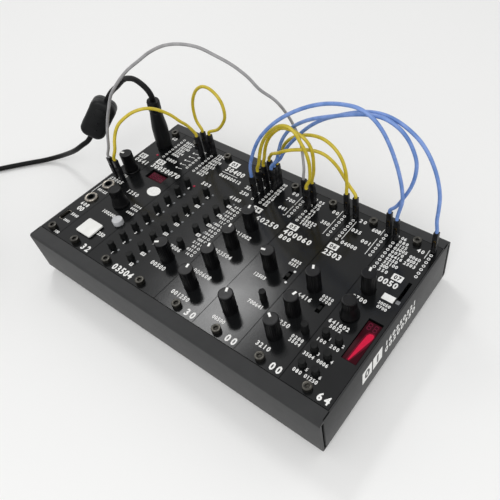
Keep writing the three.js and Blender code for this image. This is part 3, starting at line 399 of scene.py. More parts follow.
# Patch leads: two crimp housings on sockets and a wire between them
leadSizes = {
    "radius": 0.9,
    "greyRadius": 0.75,
    "side": 2.5,
    "wall": 0.45,
    "height": 14,
    "lift": 0.2,
    "windowLow": 4.2,
    "windowHigh": 9.2,
    "latchWidth": 0.7,
    "latchGap": 1.2,
    "crimpWidth": 1.1,
    "overlap": 0.3,
    "pinSide": 0.5,
    "pinLength": 6,
    "straight": 1.5,
    "edge": 0.22,
    "sink": 0.2,
    "steps": 6,
}
pinPitch = 2.54
headerFirstY = 76.9
# each module's left and right column
headerX = {
    "control": (15, 34.6), "sequencer": (40, 84.6), "mixer": (90, 109.6), "drum": (115, 134.6),
    "bass_drum": (140, 159.6), "sampler": (165, 184.6),
}
supplyRow = (4.2, 49.7)


def hole(module, side, index):
    return headerX[module][side], headerFirstY + index * pinPitch


def supplyHole(index):
    return supplyRow[0] + index * pinPitch, supplyRow[1]


# Routes run from the first hole to the second.
patchLeads = {
    "grey_lead": (supplyHole(0), hole("mixer", 1, 6), [
        (7.5, 50.4, 22.3), (9.8, 51.4, 30.1), (12.6, 52.9, 38.9), (16.2, 54.4, 47.2), (20.4, 56.4, 56),
        (26.8, 58.7, 63.9), (34, 61.4, 71), (41.2, 64.4, 76.5), (48.3, 67.3, 81.6), (55.7, 70.3, 85.1),
        (63, 73.5, 86.1), (70.3, 76.6, 85), (77.2, 79.3, 81.6), (83.8, 82, 77.5), (89.1, 84.6, 72.1),
        (92.4, 88, 64.5), (97.2, 92, 58.1), (99.5, 95.8, 49.9), (101.5, 98.4, 41.2), (104.4, 98.8, 31.9),
        (106.5, 97, 23.4), (108.9, 94, 19.3),
    ]),
    "yellow_lead_1": (supplyHole(2), hole("control", 1, 5), [
        (11.6, 51.2, 21.8), (11.7, 53, 26.6), (12.5, 55.2, 31.4), (13.8, 57.7, 35), (16.3, 61.2, 38),
        (19.4, 65.4, 40.2), (22.9, 70.5, 40.5), (25.4, 74.6, 38.6), (27.8, 77.8, 35.8), (29.8, 80.8, 32.2),
        (31.4, 83.6, 27.5), (32.8, 86.8, 22.8),
    ]),
    "yellow_lead_2": (hole("control", 1, 7), hole("sequencer", 0, 7), [
        (32.1, 94.6, 20.6), (32, 94.4, 27.3), (33.5, 94.2, 33.9), (36.6, 94, 40), (40.5, 93.9, 44.8),
        (45.4, 93.8, 48), (49.9, 93.8, 48.4), (54.1, 93.8, 46.5), (57.1, 93.9, 42.6), (57.9, 94, 37.5),
        (57, 94.2, 32.3), (53.5, 94.4, 26.5), (48.4, 94.5, 21),
    ]),
    "yellow_lead_3": (hole("sequencer", 1, 3), hole("drum", 0, 4), [
        (86.6, 84.4, 20.4), (88.3, 84.3, 26.4), (90, 84.3, 31.8), (92.6, 84.4, 37.5), (96.1, 84.5, 42.9),
        (100.3, 84.7, 47.6), (105.1, 84.9, 51), (109.5, 85.2, 51.7), (112.7, 85.6, 49.3), (114.8, 86, 45),
        (117, 86.4, 40.1), (118.4, 86.8, 33.6), (118.4, 87, 27.3), (117.6, 87.1, 21.3),
    ]),
    "yellow_lead_4": (hole("sequencer", 1, 5), hole("drum", 0, 6), [
        (86.3, 89.4, 20.3), (88.1, 89, 26.4), (90.6, 88.5, 32.5), (94.2, 88, 38.5), (98.5, 87.8, 43.6),
        (103, 87.8, 47.1), (107.8, 87.9, 48), (112.1, 88.2, 47.1), (115.7, 88.8, 44.8), (117.9, 89.6, 40.6),
        (118.2, 90.6, 34.7), (117.6, 91.4, 28.3), (116.7, 91.9, 22),
    ]),
    "yellow_lead_5": (hole("sequencer", 1, 7), hole("bass_drum", 0, 7), [
        (86.8, 93.8, 19), (90.8, 91, 24), (97.6, 88.4, 29.3), (102.8, 87.4, 33.3), (106.9, 87.8, 35.4),
        (110.1, 89, 36.1), (113, 90.6, 36.2), (115.8, 92.4, 35.8), (118.6, 94.2, 34.8), (121.8, 95.6, 33.1),
        (124.9, 96.6, 30.4), (127.8, 97.3, 26.9), (130.4, 97.8, 22.6), (133.5, 97.5, 18.6),
    ]),
    "yellow_lead_6": (hole("mixer", 0, 7), hole("drum", 1, 7), [
        (92.4, 95.4, 18.6), (93.4, 96, 23.2), (95.5, 96.5, 28.3), (99.6, 96.7, 33.3), (104.6, 96.7, 37.2),
        (109.9, 96.6, 39.9), (115.5, 96.4, 41.7), (120.9, 96.2, 42.1), (125.6, 95.9, 40.7),
        (129.5, 95.5, 38.1), (132.4, 95.1, 34.4), (134, 94.9, 29.7), (134.7, 94.8, 24.6), (134.9, 94.7, 19.9),
    ]),
    "blue_lead_1": (hole("sequencer", 1, 1), hole("sampler", 0, 6), [
        (85.2, 79.3, 21.1), (87.6, 79.2, 28.1), (90.7, 79.3, 35.3), (94.6, 79.7, 42.5), (99.2, 80.4, 48.8),
        (104.7, 81.4, 54.8), (111.1, 82.6, 60.3), (117.9, 83.9, 65), (124.8, 85.2, 68.7), (131.6, 86.5, 71.2),
        (138.6, 87.8, 72.4), (145.5, 88.6, 72.5), (151.7, 89.2, 69.8), (156.2, 89.8, 64.9),
        (159.6, 90.5, 58.3), (162.3, 91.2, 50.9), (164.4, 92, 43), (166.2, 92.2, 35), (166.9, 92.3, 27.1),
        (165.7, 92.2, 20),
    ]),
    "blue_lead_2": (hole("mixer", 0, 5), hole("bass_drum", 1, 7), [
        (93.5, 90.9, 21), (95, 91.5, 26.3), (97.6, 91.4, 33.3), (100.9, 91.5, 39.5), (105.9, 91.5, 45.9),
        (112, 91.5, 51.2), (118.7, 91.5, 55.6), (125.9, 91.5, 59.3), (133.2, 91.6, 62.6), (140.8, 91.8, 65.8),
        (148.3, 92, 68.2), (155.5, 92.4, 68.8), (161.7, 93, 66.4), (165.9, 94, 61.8), (168.7, 94.8, 56.1),
        (170.6, 95.2, 49.9), (170.6, 95.4, 42.5), (169.1, 95.3, 34.8), (166.1, 95.1, 26.9),
        (162.6, 94.9, 19.5),
    ]),
    "blue_lead_3": (hole("mixer", 0, 6), hole("sampler", 1, 7), [
        (93.8, 93.3, 20.2), (95.9, 93.9, 24.3), (99.5, 94, 30.1), (104.3, 94.2, 36.4), (109.7, 94.3, 43),
        (116.2, 94.3, 49.7), (123.5, 94.3, 55.6), (130.8, 94.3, 60), (138.4, 94.4, 64.1), (146.4, 94.6, 67.4),
        (153.9, 95, 68.4), (160.3, 95.4, 67.2), (166.3, 95.7, 64.4), (171.2, 96.1, 60.5), (175.2, 96.2, 55.6),
        (178.7, 96, 49.7), (181.4, 95.7, 43.1), (183.2, 95.3, 36), (183.7, 95, 28.4), (183.8, 94.8, 21.3),
    ]),
}


# A housing with its open latch window, the crimp behind it and the square pin under it.
def addHousing(shell, metal, x, y, sizes):
    side, edge, lift, overlap = sizes["side"], sizes["edge"], sizes["lift"], sizes["overlap"]
    half, core = side / 2, side / 2 - sizes["wall"]
    windowLow, windowHigh = lift + sizes["windowLow"], lift + sizes["windowHigh"]
    low, high = windowLow - overlap, windowHigh + overlap
    slabAt(shell, x, y, side, side, lift, windowLow, edge)
    slabAt(shell, x, y, side, side, windowHigh, lift + sizes["height"], edge)
    slab(shell, x - half, x - core, y - half, y + half, low, high, 0.1)
    slab(shell, x + core, x + half, y - half, y + half, low, high, 0.1)
    slab(shell, x - half, x + half, y + core, y + half, low, high, 0.1)
    latch, crimp, pin = sizes["latchWidth"] / 2, sizes["crimpWidth"], sizes["pinSide"]
    slab(shell, x - latch, x + latch, y - half, y - core, low, windowHigh - sizes["latchGap"], 0.1)
    slabAt(metal, x, y, crimp, 2 * core - 0.2, low - 0.1, high + 0.1, 0.1)
    slabAt(metal, x, y, pin, pin, -sizes["pinLength"], lift + overlap, 0.08, 1)


def makePatchLead(name, start, finish, places, sizes):
    colour = name.split("_")[0]
    slotName = colour + "_sleeve"
    radius = sizes["greyRadius"] if colour == "grey" else sizes["radius"]
    top = sizes["lift"] + sizes["height"]
    low, high = top - sizes["sink"], top + sizes["straight"]
    route = [(*start, low), (*start, high), *places, (*finish, high), (*finish, low)]
    wire, length = makeWire(name + "_wire", route, radius, sleeves[colour], [name], sizes["steps"])
    shell, metal = bmesh.new(), bmesh.new()
    for x, y in (start, finish):
        addHousing(shell, metal, x, y, sizes)
    plugs = makePiece(name + "_plugs", shell, housingNylon, "satin_black_plastic", name)
    pins = makePiece(name + "_pins", metal, gilt, slotName, name)


for leadName, lead in patchLeads.items():
    makePatchLead(leadName, *lead, leadSizes)
print("patch leads made")

# Power lead: plug, cable, choke, coil and adaptor
powerLead = {
    "x": 7.9,
    "y": 84.5,
    "lean": 6,
    "plugTop": 34,
    "gap": 0.3,
    "radius": 1.6,
    "steps": 4,
    "chokePlace": (-34, 73.5, 12.4),
    "chokeAxis": (-0.36, -0.54, -0.76),
    "chokeFace": (0.672, -0.715, 0.191),
    "chokeReach": 28,
    "coilX": -112.6,
    "coilY": -14.4,
    "coilRadius": 24.6,
    "coilPitch": 3.9,
    "coilTurns": 3,
    "coilStart": 140,
    "coilRamp": 110,
    "coilSteps": 24,
    "tail": 26,
}
plugPlace = Matrix.Translation((powerLead["x"], powerLead["y"], 0))
plugTurn = plugPlace @ Matrix.Rotation(math.radians(powerLead["lean"]), 4, "Y")
chokeAxis = Vector(powerLead["chokeAxis"]).normalized()
# from the plug to the choke, and from the choke to the coil
arcPlaces = [
    (11.6, 84.5, 36.2), (10.3, 84.6, 38.9), (7.8, 84.7, 41), (4.7, 84.9, 42.2), (1.4, 85, 43),
    (-2.1, 85.2, 42.8), (-5.5, 85.3, 41.9), (-8.8, 85.5, 40.7), (-12.6, 85.5, 38.5), (-16, 85.1, 35.8),
    (-19.7, 84.9, 32.7),
]
dropPlaces = [
    (-44.2, 60.5, -4.3), (-49.7, 58.6, -8.5), (-55.4, 58, -12.3), (-61.7, 58, -16.2), (-68.5, 57.8, -20.2),
    (-75, 56.6, -23.6), (-81.1, 53.8, -26), (-86.6, 49.6, -27.3), (-92.2, 44.2, -27.6), (-98.1, 37.6, -27.6),
    (-104.2, 30.5, -27.6), (-110.4, 23, -27.6), (-117, 15.4, -27.6),
]


def leadRoute(lead):
    start = plugTurn @ Vector((0, 0, lead["plugTop"] + lead["gap"]))
    middle, reach = Vector(lead["chokePlace"]), lead["chokeReach"]
    through = [middle + chokeAxis * along for along in (-reach / 2 - 4, -reach / 4, reach / 4, reach / 2 + 4)]
    return [start, *arcPlaces, *through, *dropPlaces]


# The coil winds inwards on the table, climbs a layer and winds out again above itself.
def coilRoute(lead):
    first, ramp = math.radians(lead["coilStart"]), math.radians(lead["coilRamp"])
    inTurn = lead["coilTurns"] * 2 * math.pi
    total = inTurn + ramp + inTurn
    count = round(total / (2 * math.pi) * lead["coilSteps"])
    low = tableZ + lead["radius"]
    points = []
    for i in range(count + 1):
        wound = total * i / count
        inward = min(wound, inTurn)
        outward = max(0, wound - inTurn - ramp)
        climb = min(max((wound - inTurn) / ramp, 0), 1)
        radius = lead["coilRadius"] - lead["coilPitch"] * (inward - outward) / (2 * math.pi)
        angle = first + wound
        place = (lead["coilX"] + radius * math.cos(angle), lead["coilY"] + radius * math.sin(angle))
        points.append(Vector((*place, low + lead["coilPitch"] * climb)))
    heading = Vector((-math.sin(angle), math.cos(angle), 0))
    top = points[-1]
    for share, drop in ((0.25, 0), (0.5, 0.35), (0.75, 0.85), (1, 1)):
        points.append(top + heading * lead["tail"] * share - Vector((0, 0, lead["coilPitch"] * drop)))
    return points, heading


coilPoints, tailHeading = coilRoute(powerLead)
cableRoute = leadRoute(powerLead) + coilPoints
cable, cableLength = makeWire(
    "power_cable", cableRoute, powerLead["radius"], cableJacket, ["dc_lead", "dc_lead_coil"],
    powerLead["steps"],
)

# The moulded plug: swelling body, ribbed neck and a collar where the cable leaves
plugLook = {
    "body": [
        (0, 0.8), (4.2, 0.8), (4.5, 1.1), (4.6, 8), (4.6, 15), (4.3, 18), (3.9, 21.5), (3.5, 25), (3.3, 26.4),
        (3.05, 26.6), (3.05, 27), (3.45, 27.3), (3.7, 27.6), (3.7, 30.4), (3.7, 33.1), (3.4, 33.8), (2, 34),
        (0, 34),
    ],
    "ribs": (16, 0.2, 27.5, 33.2),
    "barrel": [(0, -6), (2.55, -6), (2.75, -5.8), (2.75, 0.9), (0, 0.9)],
}


def makePlug(look):
    body, barrel = bmesh.new(), bmesh.new()
    turned(body, 0, 0, look["body"], 48, look["ribs"])
    turned(barrel, 0, 0, look["barrel"], 32)
    return [
        makePiece("power_plug", body, mouldedShell, "satin_black_plastic", "dc_plug", turn=plugTurn),
        makePiece("power_plug_barrel", barrel, nickel, "satin_black_plastic", "dc_plug", turn=plugTurn),
    ]


# The choke: two halves clipped along a parting line, their collars, a plate and two studs.
# Each half is a rounded outline with a soft shoulder, its rows given as (inset, height).
chokeLook = {
    "length": 25.5,
    "width": 15,
    "depth": 5.9,
    "corner": 5,
    "halfRows": [(0.25, 0.08), (0, 0.35), (0, 3.7), (0.35, 4.8), (1.1, 5.55), (2.2, 5.9)],
    "collarSide": 5.6,
    "clipX": 6,
    "clipSize": (3.6, 15.3),
    "plates": [
        (-4.6, 0, 6, 6.8, 0.3), (-7.5, 0, 1.4, 3.2, 0.6), (1.8, 0.5, 1.2, 1.2, 0.35),
        (6.4, 1.6, 1.2, 1.2, 0.35),
    ],
}


def makeChoke(lead, look):
    side = Vector(lead["chokeFace"]).cross(chokeAxis).normalized()
    turn = Matrix((chokeAxis, side, chokeAxis.cross(side))).transposed().to_4x4()
    turn = Matrix.Translation(lead["chokePlace"]) @ turn
    bm = bmesh.new()
    deep, collar = look["depth"], look["collarSide"]
    for sign in (-1, 1):
        rows = [(inset, sign * height) for inset, height in look["halfRows"]]
        roundBlock(bm, 0, 0, look["length"], look["width"], look["corner"], rows, 6)
        middle = sign * (look["length"] / 2 - 1.175)
        slabAt(bm, middle, 0, 2.45, collar, -collar / 2, collar / 2, 0.8, 3)
        slabAt(bm, sign * look["clipX"], 0, *look["clipSize"], -1.6, 1.6, 0.3)
    for x, y, width, length, rise in look["plates"]:
        slabAt(bm, x, y, width, length, deep - 0.3, deep + rise, 0.25)
    return makePiece("choke_shell", bm, mouldedShell, "satin_black_plastic", "ferrite_choke", turn=turn)


# The adaptor at the far end, with a ribbed strain relief and its two mains pins
adaptorLook = {
    "length": 60,
    "width": 38,
    "height": 28,
    "edge": 2.2,
    "relief": 10,
    "splitShare": 0.55,
    "splitGap": 0.15,
    "ribs": 6,
    "ribPitch": 3.2,
    "ribFirst": 14,
    "ribWidth": 1.2,
    "ribEnd": 8,
    "reliefRibs": 5,
    "pinY": 9.3,
    "pin": [(0, 0), (2, 0), (2, 15), (1.6, 18.4), (1.1, 18.9), (0, 19)],
}


def makeAdaptor(lead, look, tail, heading):
    length, height, relief = look["length"], look["height"], look["relief"]
    half, gap, edge = look["width"] / 2, look["splitGap"], look["edge"]
    split = height * look["splitShare"]
    turn = Matrix.Translation((*(tail + heading * lead["gap"]).to_2d(), tableZ))
    turn = turn @ Matrix.Rotation(math.atan2(heading.y, heading.x), 4, "Z")
    upright = Matrix.Rotation(math.pi / 2, 4, "Y")
    bm = bmesh.new()
    slab(bm, relief, relief + length, -half, half, 0, split - gap, edge, 4)
    slab(bm, relief + 0.25, relief + length - 0.25, -half + 0.25, half - 0.25, split - 2.5, split + 2.5)
    slab(bm, relief, relief + length, -half, half, split + gap, height, edge, 4)
    for i in range(look["ribs"]):
        x, end = relief + look["ribFirst"] + i * look["ribPitch"], half - look["ribEnd"]
        slab(bm, x, x + look["ribWidth"], -end, end, height - 0.1, height + 0.35, 0.15, 1)
    makePiece("adaptor_body", bm, mouldedShell, "satin_black_plastic", "mains_adaptor", turn=turn)
    sleeve = bmesh.new()
    profile = [(1.65, -0.2), (1.95, -0.1)]
    for i in range(look["reliefRibs"]):
        z, swell = 0.4 + i * 1.9, 2 + i * 0.22
        profile += [(swell, z), (swell, z + 1.1), (swell - 0.45, z + 1.3), (swell - 0.4, z + 1.7)]
    turned(sleeve, 0, 0, [*profile, (3, relief), (3, relief + 3), (1.65, relief + 3)], 28)
    lay = turn @ Matrix.Translation((0, 0, 3)) @ upright
    relieved = makePiece("adaptor_relief", sleeve, cableJacket, "rubber", "mains_adaptor", turn=lay)
    pins = bmesh.new()
    for y in (-look["pinY"], look["pinY"]):
        turned(pins, 0, y, look["pin"], 24)
    stand = turn @ Matrix.Translation((relief + length - 0.2, 0, height / 2)) @ upright
    makePiece("adaptor_pins", pins, nickel, "satin_black_plastic", "mains_adaptor", turn=stand)
    return relieved


# A strap round all the coil's turns keeps it wound
tieLook = {"angle": 20, "clear": 0.5, "thickness": 0.4, "halfWidth": 3.5, "corner": 1.6, "lift": 0.05}


def makeTie(lead, look):
    inner = lead["coilRadius"] - lead["coilPitch"] * lead["coilTurns"] - lead["radius"] - look["clear"]
    outer = lead["coilRadius"] + lead["radius"] + look["clear"]
    low = tableZ + look["lift"]
    height = lead["coilPitch"] + 2 * lead["radius"] + look["clear"] - look["lift"]
    bm = bmesh.new()
    rings = []
    for y, thick in ((-1, 0), (1, 0), (1, 1), (-1, 1)):
        inset, corner = 2 * look["thickness"] * thick, look["corner"] - look["thickness"] * thick
        outline = roundRectangle(
            (inner + outer) / 2, low + height / 2, outer - inner - inset, height - inset, corner
        )
        rings.append([bm.verts.new((x, y * look["halfWidth"], z)) for x, z in outline])
    joinRings(bm, [*rings, rings[0]], False)
    turn = Matrix.Translation((lead["coilX"], lead["coilY"], 0))
    turn = turn @ Matrix.Rotation(math.radians(look["angle"]), 4, "Z")
    return makePiece("coil_tie", bm, footRubber, "rubber", turn=turn)


adaptorRelief = makeAdaptor(powerLead, adaptorLook, coilPoints[-1], tailHeading)
powerPieces = [
    *makePlug(plugLook), makeChoke(powerLead, chokeLook), makeTie(powerLead, tieLook), adaptorRelief,
]
print("power lead made", round(cableLength), "mm")


# Case of folded sheet, drawn through its bends
caseSizes = {
    "front": -7.6,
    "rear": 105.8,
    "lipFront": -0.3,
    "lipRear": 99.3,
    "wall": 26.7,
    "sheet": 1.2,
    "bend": 1.5,
    "bendSteps": 6,
    "plateFront": -4.9,
    "plateRear": 103.1,
    "plateEdge": 0.25,
    "plateProud": 0.04,  # proud of the tray's ends, so that its outline shows
    "footRadius": 4,
    "footBore": 1.6,
    "footInset": 9,
}


# The folded section as (y, z) points: the outer skin from lip to lip, and the inner skin.
def traySection(sizes):
    bend, low = sizes["bend"], sizes["bend"] - sizes["wall"]
    front, rear = sizes["front"] + bend, sizes["rear"] - bend
    bends = ((front, -bend, 90, 180), (front, low, 180, 270), (rear, low, 270, 360), (rear, -bend, 0, 90))
    skins = []
    for drop in (0, sizes["sheet"]):
        skin = [(sizes["lipFront"], -drop)]
        for y, z, start, finish in bends:
            skin += arc(y, z, bend - drop, start, finish, sizes["bendSteps"])
        skins.append(skin + [(sizes["lipRear"], -drop)])
    return skins


def makeCase(sizes):
    outer, inner = traySection(sizes)
    outline = outer + inner[::-1]
    last = len(outline) - 1
    bm = bmesh.new()
    ends = [[bm.verts.new((x, y, z)) for y, z in outline] for x in (-sideSheet, rowWidth + sideSheet)]
    joinRings(bm, ends, False)
    for row in ends:
        for i in range(len(outer) - 1):
            bm.faces.new((row[i], row[i + 1], row[last - 1 - i], row[last - i]))
    makePiece("case_sheet", bm, powderCoat, "black_paint", "case_tray", sharp=40)
    proud = sizes["plateProud"]
    for side, x0, x1 in (("left", -sideSheet - proud, 0), ("right", rowWidth, rowWidth + sideSheet + proud)):
        name = "side_plate_" + side
        bm = bmesh.new()
        slab(bm, x0, x1, sizes["plateFront"], sizes["plateRear"], -sizes["wall"], 0, sizes["plateEdge"])
        makePiece(name + "_sheet", bm, powderCoat, "black_paint", name)


def makeFeet(sizes):
    radius, bore, inset, top = sizes["footRadius"], sizes["footBore"], sizes["footInset"], -sizes["wall"]
    profile = [
        (0, top), (radius, top), (radius, top - 0.4), (radius - 0.35, tableZ + 0.35), (radius - 0.7, tableZ),
        (bore, tableZ), (bore - 0.3, tableZ + 0.8), (0, tableZ + 0.8),
    ]
    for depth, y in (("front", inset), ("rear", panelLength - inset)):
        for side, x in (("left", inset), ("right", rowWidth - inset)):
            name = "foot_" + depth + "_" + side
            bm = bmesh.new()
            turned(bm, x, y, profile, 40)
            makePiece(name + "_rubber", bm, footRubber, "rubber", name)


makeCase(caseSizes)
makeFeet(caseSizes)

# Screw rails with their socket screws
railSizes = {
    "gap": 0.3,
    "top": -1.6,
    "height": 4,
    "bearing": 2.6,
    "wallGap": 1.5,
    "lugReach": 5.9,
    "lugWidth": 6,
    "screwInset": 3.1,
    "screwPlaces": (6.25, 25, 50, 75, 100, 125, 150, 175),
    "spin": 0.7,
    "headRadius": 2.25,
    "headHeight": 2.4,
    "knurl": 0.07,
    "socketRadius": 1.15,
    "socketDepth": 1.3,
    "headEdge": 0.28,
    "sides": 48,
}


# A socket screw's head: knurled wall, chamfered rim, and a hexagonal socket with a drilled floor.
def addScrew(bm, x, y, sizes, spin):
    sides, radius, top, knurl = sizes["sides"], sizes["headRadius"], sizes["headHeight"], sizes["knurl"]
    edge, socket, floor = sizes["headEdge"], sizes["socketRadius"], top - sizes["socketDepth"]
    third = math.pi / 3
    rings = []
    for reach, height, pressed, hexed in (
        (radius - 0.15, 0, 0, False), (radius, 0.25, knurl, False), (radius, top - edge, knurl, False),
        (radius - edge * 0.3, top - edge * 0.25, 0, False), (radius - edge, top, 0, False),
        (socket + 0.16, top, 0, False), (socket, top - 0.14, 0, True), (socket, floor, 0, True),
        (0.25, floor - 0.3, 0, False),
    ):
        ring = []
        for i in range(sides):
            angle = 2 * math.pi * i / sides
            share = math.cos(third / 2) / math.cos(angle % third - third / 2) if hexed else 1
            far = reach * share - pressed * (i % 2)
            place = (x + far * math.cos(angle + spin), y + far * math.sin(angle + spin), height)
            ring.append(bm.verts.new(place))
        rings.append(ring)
    joinRings(bm, rings)


def makeRail(name, outerY, edgeY, inward, sizes):
    top, low, half = sizes["top"], sizes["top"] - sizes["height"], sizes["lugWidth"] / 2
    wallY = outerY + inward * sizes["wallGap"]
    bearingY, lugY, screwY = [edgeY + inward * sizes[key] for key in ("bearing", "lugReach", "screwInset")]
    strip, screws = bmesh.new(), bmesh.new()
    slab(strip, sizes["gap"], rowWidth - sizes["gap"], *sorted((wallY, bearingY)), low, top, 0.2, 1)
    for i, x in enumerate(sizes["screwPlaces"]):
        slab(strip, x - half, x + half, *sorted((bearingY, lugY)), low, top, 0.2, 1)
        addScrew(screws, x, screwY, sizes, sizes["spin"] * i)
    makePiece(name + "_strip", strip, powderCoat, "screw_steel", name)
    makePiece(name + "_screws", screws, blackOxide, "screw_steel", name, sharp=30)


makeRail("front_screw_rail", caseSizes["front"], 0, 1, railSizes)
makeRail("rear_screw_rail", caseSizes["rear"], panelLength, -1, railSizes)
for moduleName in ("supply", "control", "sequencer", "mixer", "drum", "bass_drum", "sampler"):
    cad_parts[moduleName + "_module"].material_slots[0].material = solderMask
print("case and rails made")


# A piece that moves with its own body and stands for that body's node
def makeMoving(name, part, bm, finish, slotName, **more):
    makePiece(name + "_" + part, bm, finish, slotName, name, body=name, **more)


# Knobs: ribbed caps with a white dash that points at the given angle
knobSizes = {
    "radius": 3.55,
    "height": 12.5,
    "foot": -1.6,
    "sides": 96,
    "ribCount": 24,
    "ribDepth": 0.16,
    "ribLow": 0.9,
    "ribTop": 1.1,
    "edge": 0.24,
    "hollow": 0.02,
    "dash": (2.2, 1.1),
    "dashPlace": 2.05,
    "dashRise": 0.05,
}
knobPlaces = {
    "supply_knob": (7.5, 58.4, -164),
    "sequencer_knob": (75.1, 21.3, -146),
    "mixer_knob_1": (97.4, 15.4, 102),
    "mixer_knob_2": (97.4, 30.5, 109),
    "mixer_knob_3": (97.4, 45.6, 101),
    "mixer_knob_4": (97.4, 60.7, 107),
    "drum_knob_1": (122.6, 15.1, 115),
    "drum_knob_2": (122.6, 44.8, -165),
    "bass_drum_knob_1": (147.8, 15.7, 145),
    "bass_drum_knob_2": (147.8, 29.8, 74),
    "bass_drum_knob_3": (147.8, 46.4, 118),
    "sampler_knob": (169.7, 58.9, 101),
}


def makeKnob(name, x, y, degrees, sizes):
    radius, top, foot, edge = sizes["radius"], sizes["height"], sizes["foot"], sizes["edge"]
    low, high, face = sizes["ribLow"], top - sizes["ribTop"], top - sizes["hollow"]
    wall = (foot, low - 0.3, low, (low + high) / 2, high, high + 0.35, top - edge)
    profile = [
        (0, foot), *[(radius, height) for height in wall], (radius - edge * 0.3, top - edge * 0.3),
        (radius - edge, top), (radius - edge - 0.5, face), (0, face),
    ]
    cap, dash = bmesh.new(), bmesh.new()
    turned(cap, x, y, profile, sizes["sides"], (sizes["ribCount"], sizes["ribDepth"], low, high))
    makeMoving(name, "cap", cap, knobAbs, "satin_black_plastic", sharp=40)
    outline = roundRectangle(sizes["dashPlace"], 0, *sizes["dash"], 0.12, 2)
    plate(dash, outline, top - 0.3, top + sizes["dashRise"])
    turn = Matrix.Translation((x, y, 0)) @ Matrix.Rotation(math.radians(degrees), 4, "Z")
    makeMoving(name, "dash", dash, whiteAbs, "white_plastic", turn=turn)


for knobName, knobPlace in knobPlaces.items():
    makeKnob(knobName, *knobPlace, knobSizes)

# Encoder knobs with a flared skirt
encoderSizes = {
    "skirtRadius": 4.65,
    "skirtHeight": 1.2,
    "lift": 0.4,
    "flareTop": 6.4,
    "flareSteps": 6,
    "radius": 3.5,
    "height": 11.5,
    "boreRadius": 2.9,
    "boreTop": 8.3,
    "ribCount": 24,
    "ribDepth": 0.2,
    "sides": 96,
}
encoderPlaces = {"control_encoder_knob": (24.5, 35), "sampler_encoder_knob": (170, 42.4)}


def makeEncoder(name, x, y, sizes):
    lift, radius, top, steps = sizes["lift"], sizes["radius"], sizes["height"], sizes["flareSteps"]
    skirt, rim, flare = sizes["skirtRadius"], sizes["lift"] + sizes["skirtHeight"], sizes["flareTop"]
    bore, boreTop, high = sizes["boreRadius"], sizes["boreTop"], top - 0.9
    profile = [
        (0, boreTop), (bore, boreTop), (bore, lift), (skirt - 0.2, lift), (skirt, lift + 0.2),
        (skirt, rim - 0.2), (skirt - 0.1, rim),
    ]
    for i in range(1, steps + 1):
        t = i / steps
        profile.append((skirt - 0.1 + (radius - skirt + 0.1) * t**0.8, rim + (flare - rim) * t))
    profile += [(radius, height) for height in (flare + 0.3, (flare + high) / 2, high, high + 0.3)]
    profile += [(radius - 0.12, top - 0.12), (radius - 0.4, top), (radius - 0.7, top)]
    profile += [(radius - 0.9, top - 0.18), (0, top - 0.18)]
    bm = bmesh.new()
    turned(bm, x, y, profile, sizes["sides"], (sizes["ribCount"], sizes["ribDepth"], flare + 0.2, high))
    makeMoving(name, "cap", bm, knobAbs, "satin_black_plastic", sharp=40)


for encoderName, encoderPlace in encoderPlaces.items():
    makeEncoder(encoderName, *encoderPlace, encoderSizes)
print("knobs made")

# Buttons: caps on stems with a flange under the panel, and caps in rows on one bar
capSizes = {
    "foot": -6.15,
    "flangeTop": -1.9,
    "flangeThickness": 0.8,
    "flangeWidth": 0.6,
    "stemRadius": 1.1,
    "barWidth": 2.4,
    "barThickness": 1.4,
    "radius": 1.7,
    "height": 4,
    "tallHeight": 6.2,
    "roundRadius": 2.85,
    "roundHeight": 2.7,
    "edge": 0.32,
    "sides": 40,
}
stepY = [11 + 8 * i for i in range(8)]
functionY = [31.5, *stepY[4:]]
rowX = {"step_buttons_a": 45, "step_buttons_b": 59.4, "function_buttons": 74.6}
tallButtons = {"drum_button": (131.9, 28), "bass_drum_button": (158.4, 24.5)}
roundButton = (34.3, 24.5)


# The cap's outline above the panel: a straight wall, a rounded rim and a faintly hollow top.
def capTop(radius, height, edge):
    rim = arc(radius - edge, height - edge, edge, 0, 90, 4)
    return [*rim, (radius * 0.6, height - 0.05), (0, height - 0.09)]


def makeButton(name, x, y, radius, height, finish, slotName, sizes):
    foot, stem, top = sizes["foot"], sizes["stemRadius"], sizes["flangeTop"]
    low, wide = top - sizes["flangeThickness"], radius + sizes["flangeWidth"]
    profile = [(0, foot), (stem, foot), (stem, low), (wide, low), (wide, top), (radius, top)]
    bm = bmesh.new()
    turned(bm, x, y, profile + capTop(radius, height, sizes["edge"]), sizes["sides"])
    makeMoving(name, "cap", bm, finish, slotName, sharp=40)


def makeButtonRow(name, x, places, sizes):
    half, top, radius, foot = sizes["barWidth"] / 2, sizes["flangeTop"], sizes["radius"], sizes["foot"]
    bm = bmesh.new()
    barFoot = top - sizes["barThickness"]
    slab(bm, x - half, x + half, places[0] - half, places[-1] + half, barFoot, top, 0.2, 1)
    for y in places:
        profile = [(0, foot), (radius, foot), *capTop(radius, sizes["height"], sizes["edge"])]
        turned(bm, x, y, profile, sizes["sides"])
    makeMoving(name, "caps", bm, capAbs, "soft_black_plastic", sharp=40)


for rowName, rowPlace in rowX.items():
    makeButtonRow(rowName, rowPlace, functionY if rowName == "function_buttons" else stepY, capSizes)
for index in range(6):
    buttonX, buttonY = 167.1 + 6.8 * (index % 2), 10.4 + 8.75 * (index // 2)
    buttonName = "sampler_button_" + str(index + 1)
    makeButton(
        buttonName, buttonX, buttonY, capSizes["radius"], capSizes["height"], capAbs, "soft_black_plastic",
        capSizes,
    )
for buttonName, place in tallButtons.items():
    makeButton(
        buttonName, *place, capSizes["radius"], capSizes["tallHeight"], capAbs, "soft_black_plastic", capSizes
    )
makeButton(
    "round_button", *roundButton, capSizes["roundRadius"], capSizes["roundHeight"], greyAbs, "grey_plastic",
    capSizes,
)

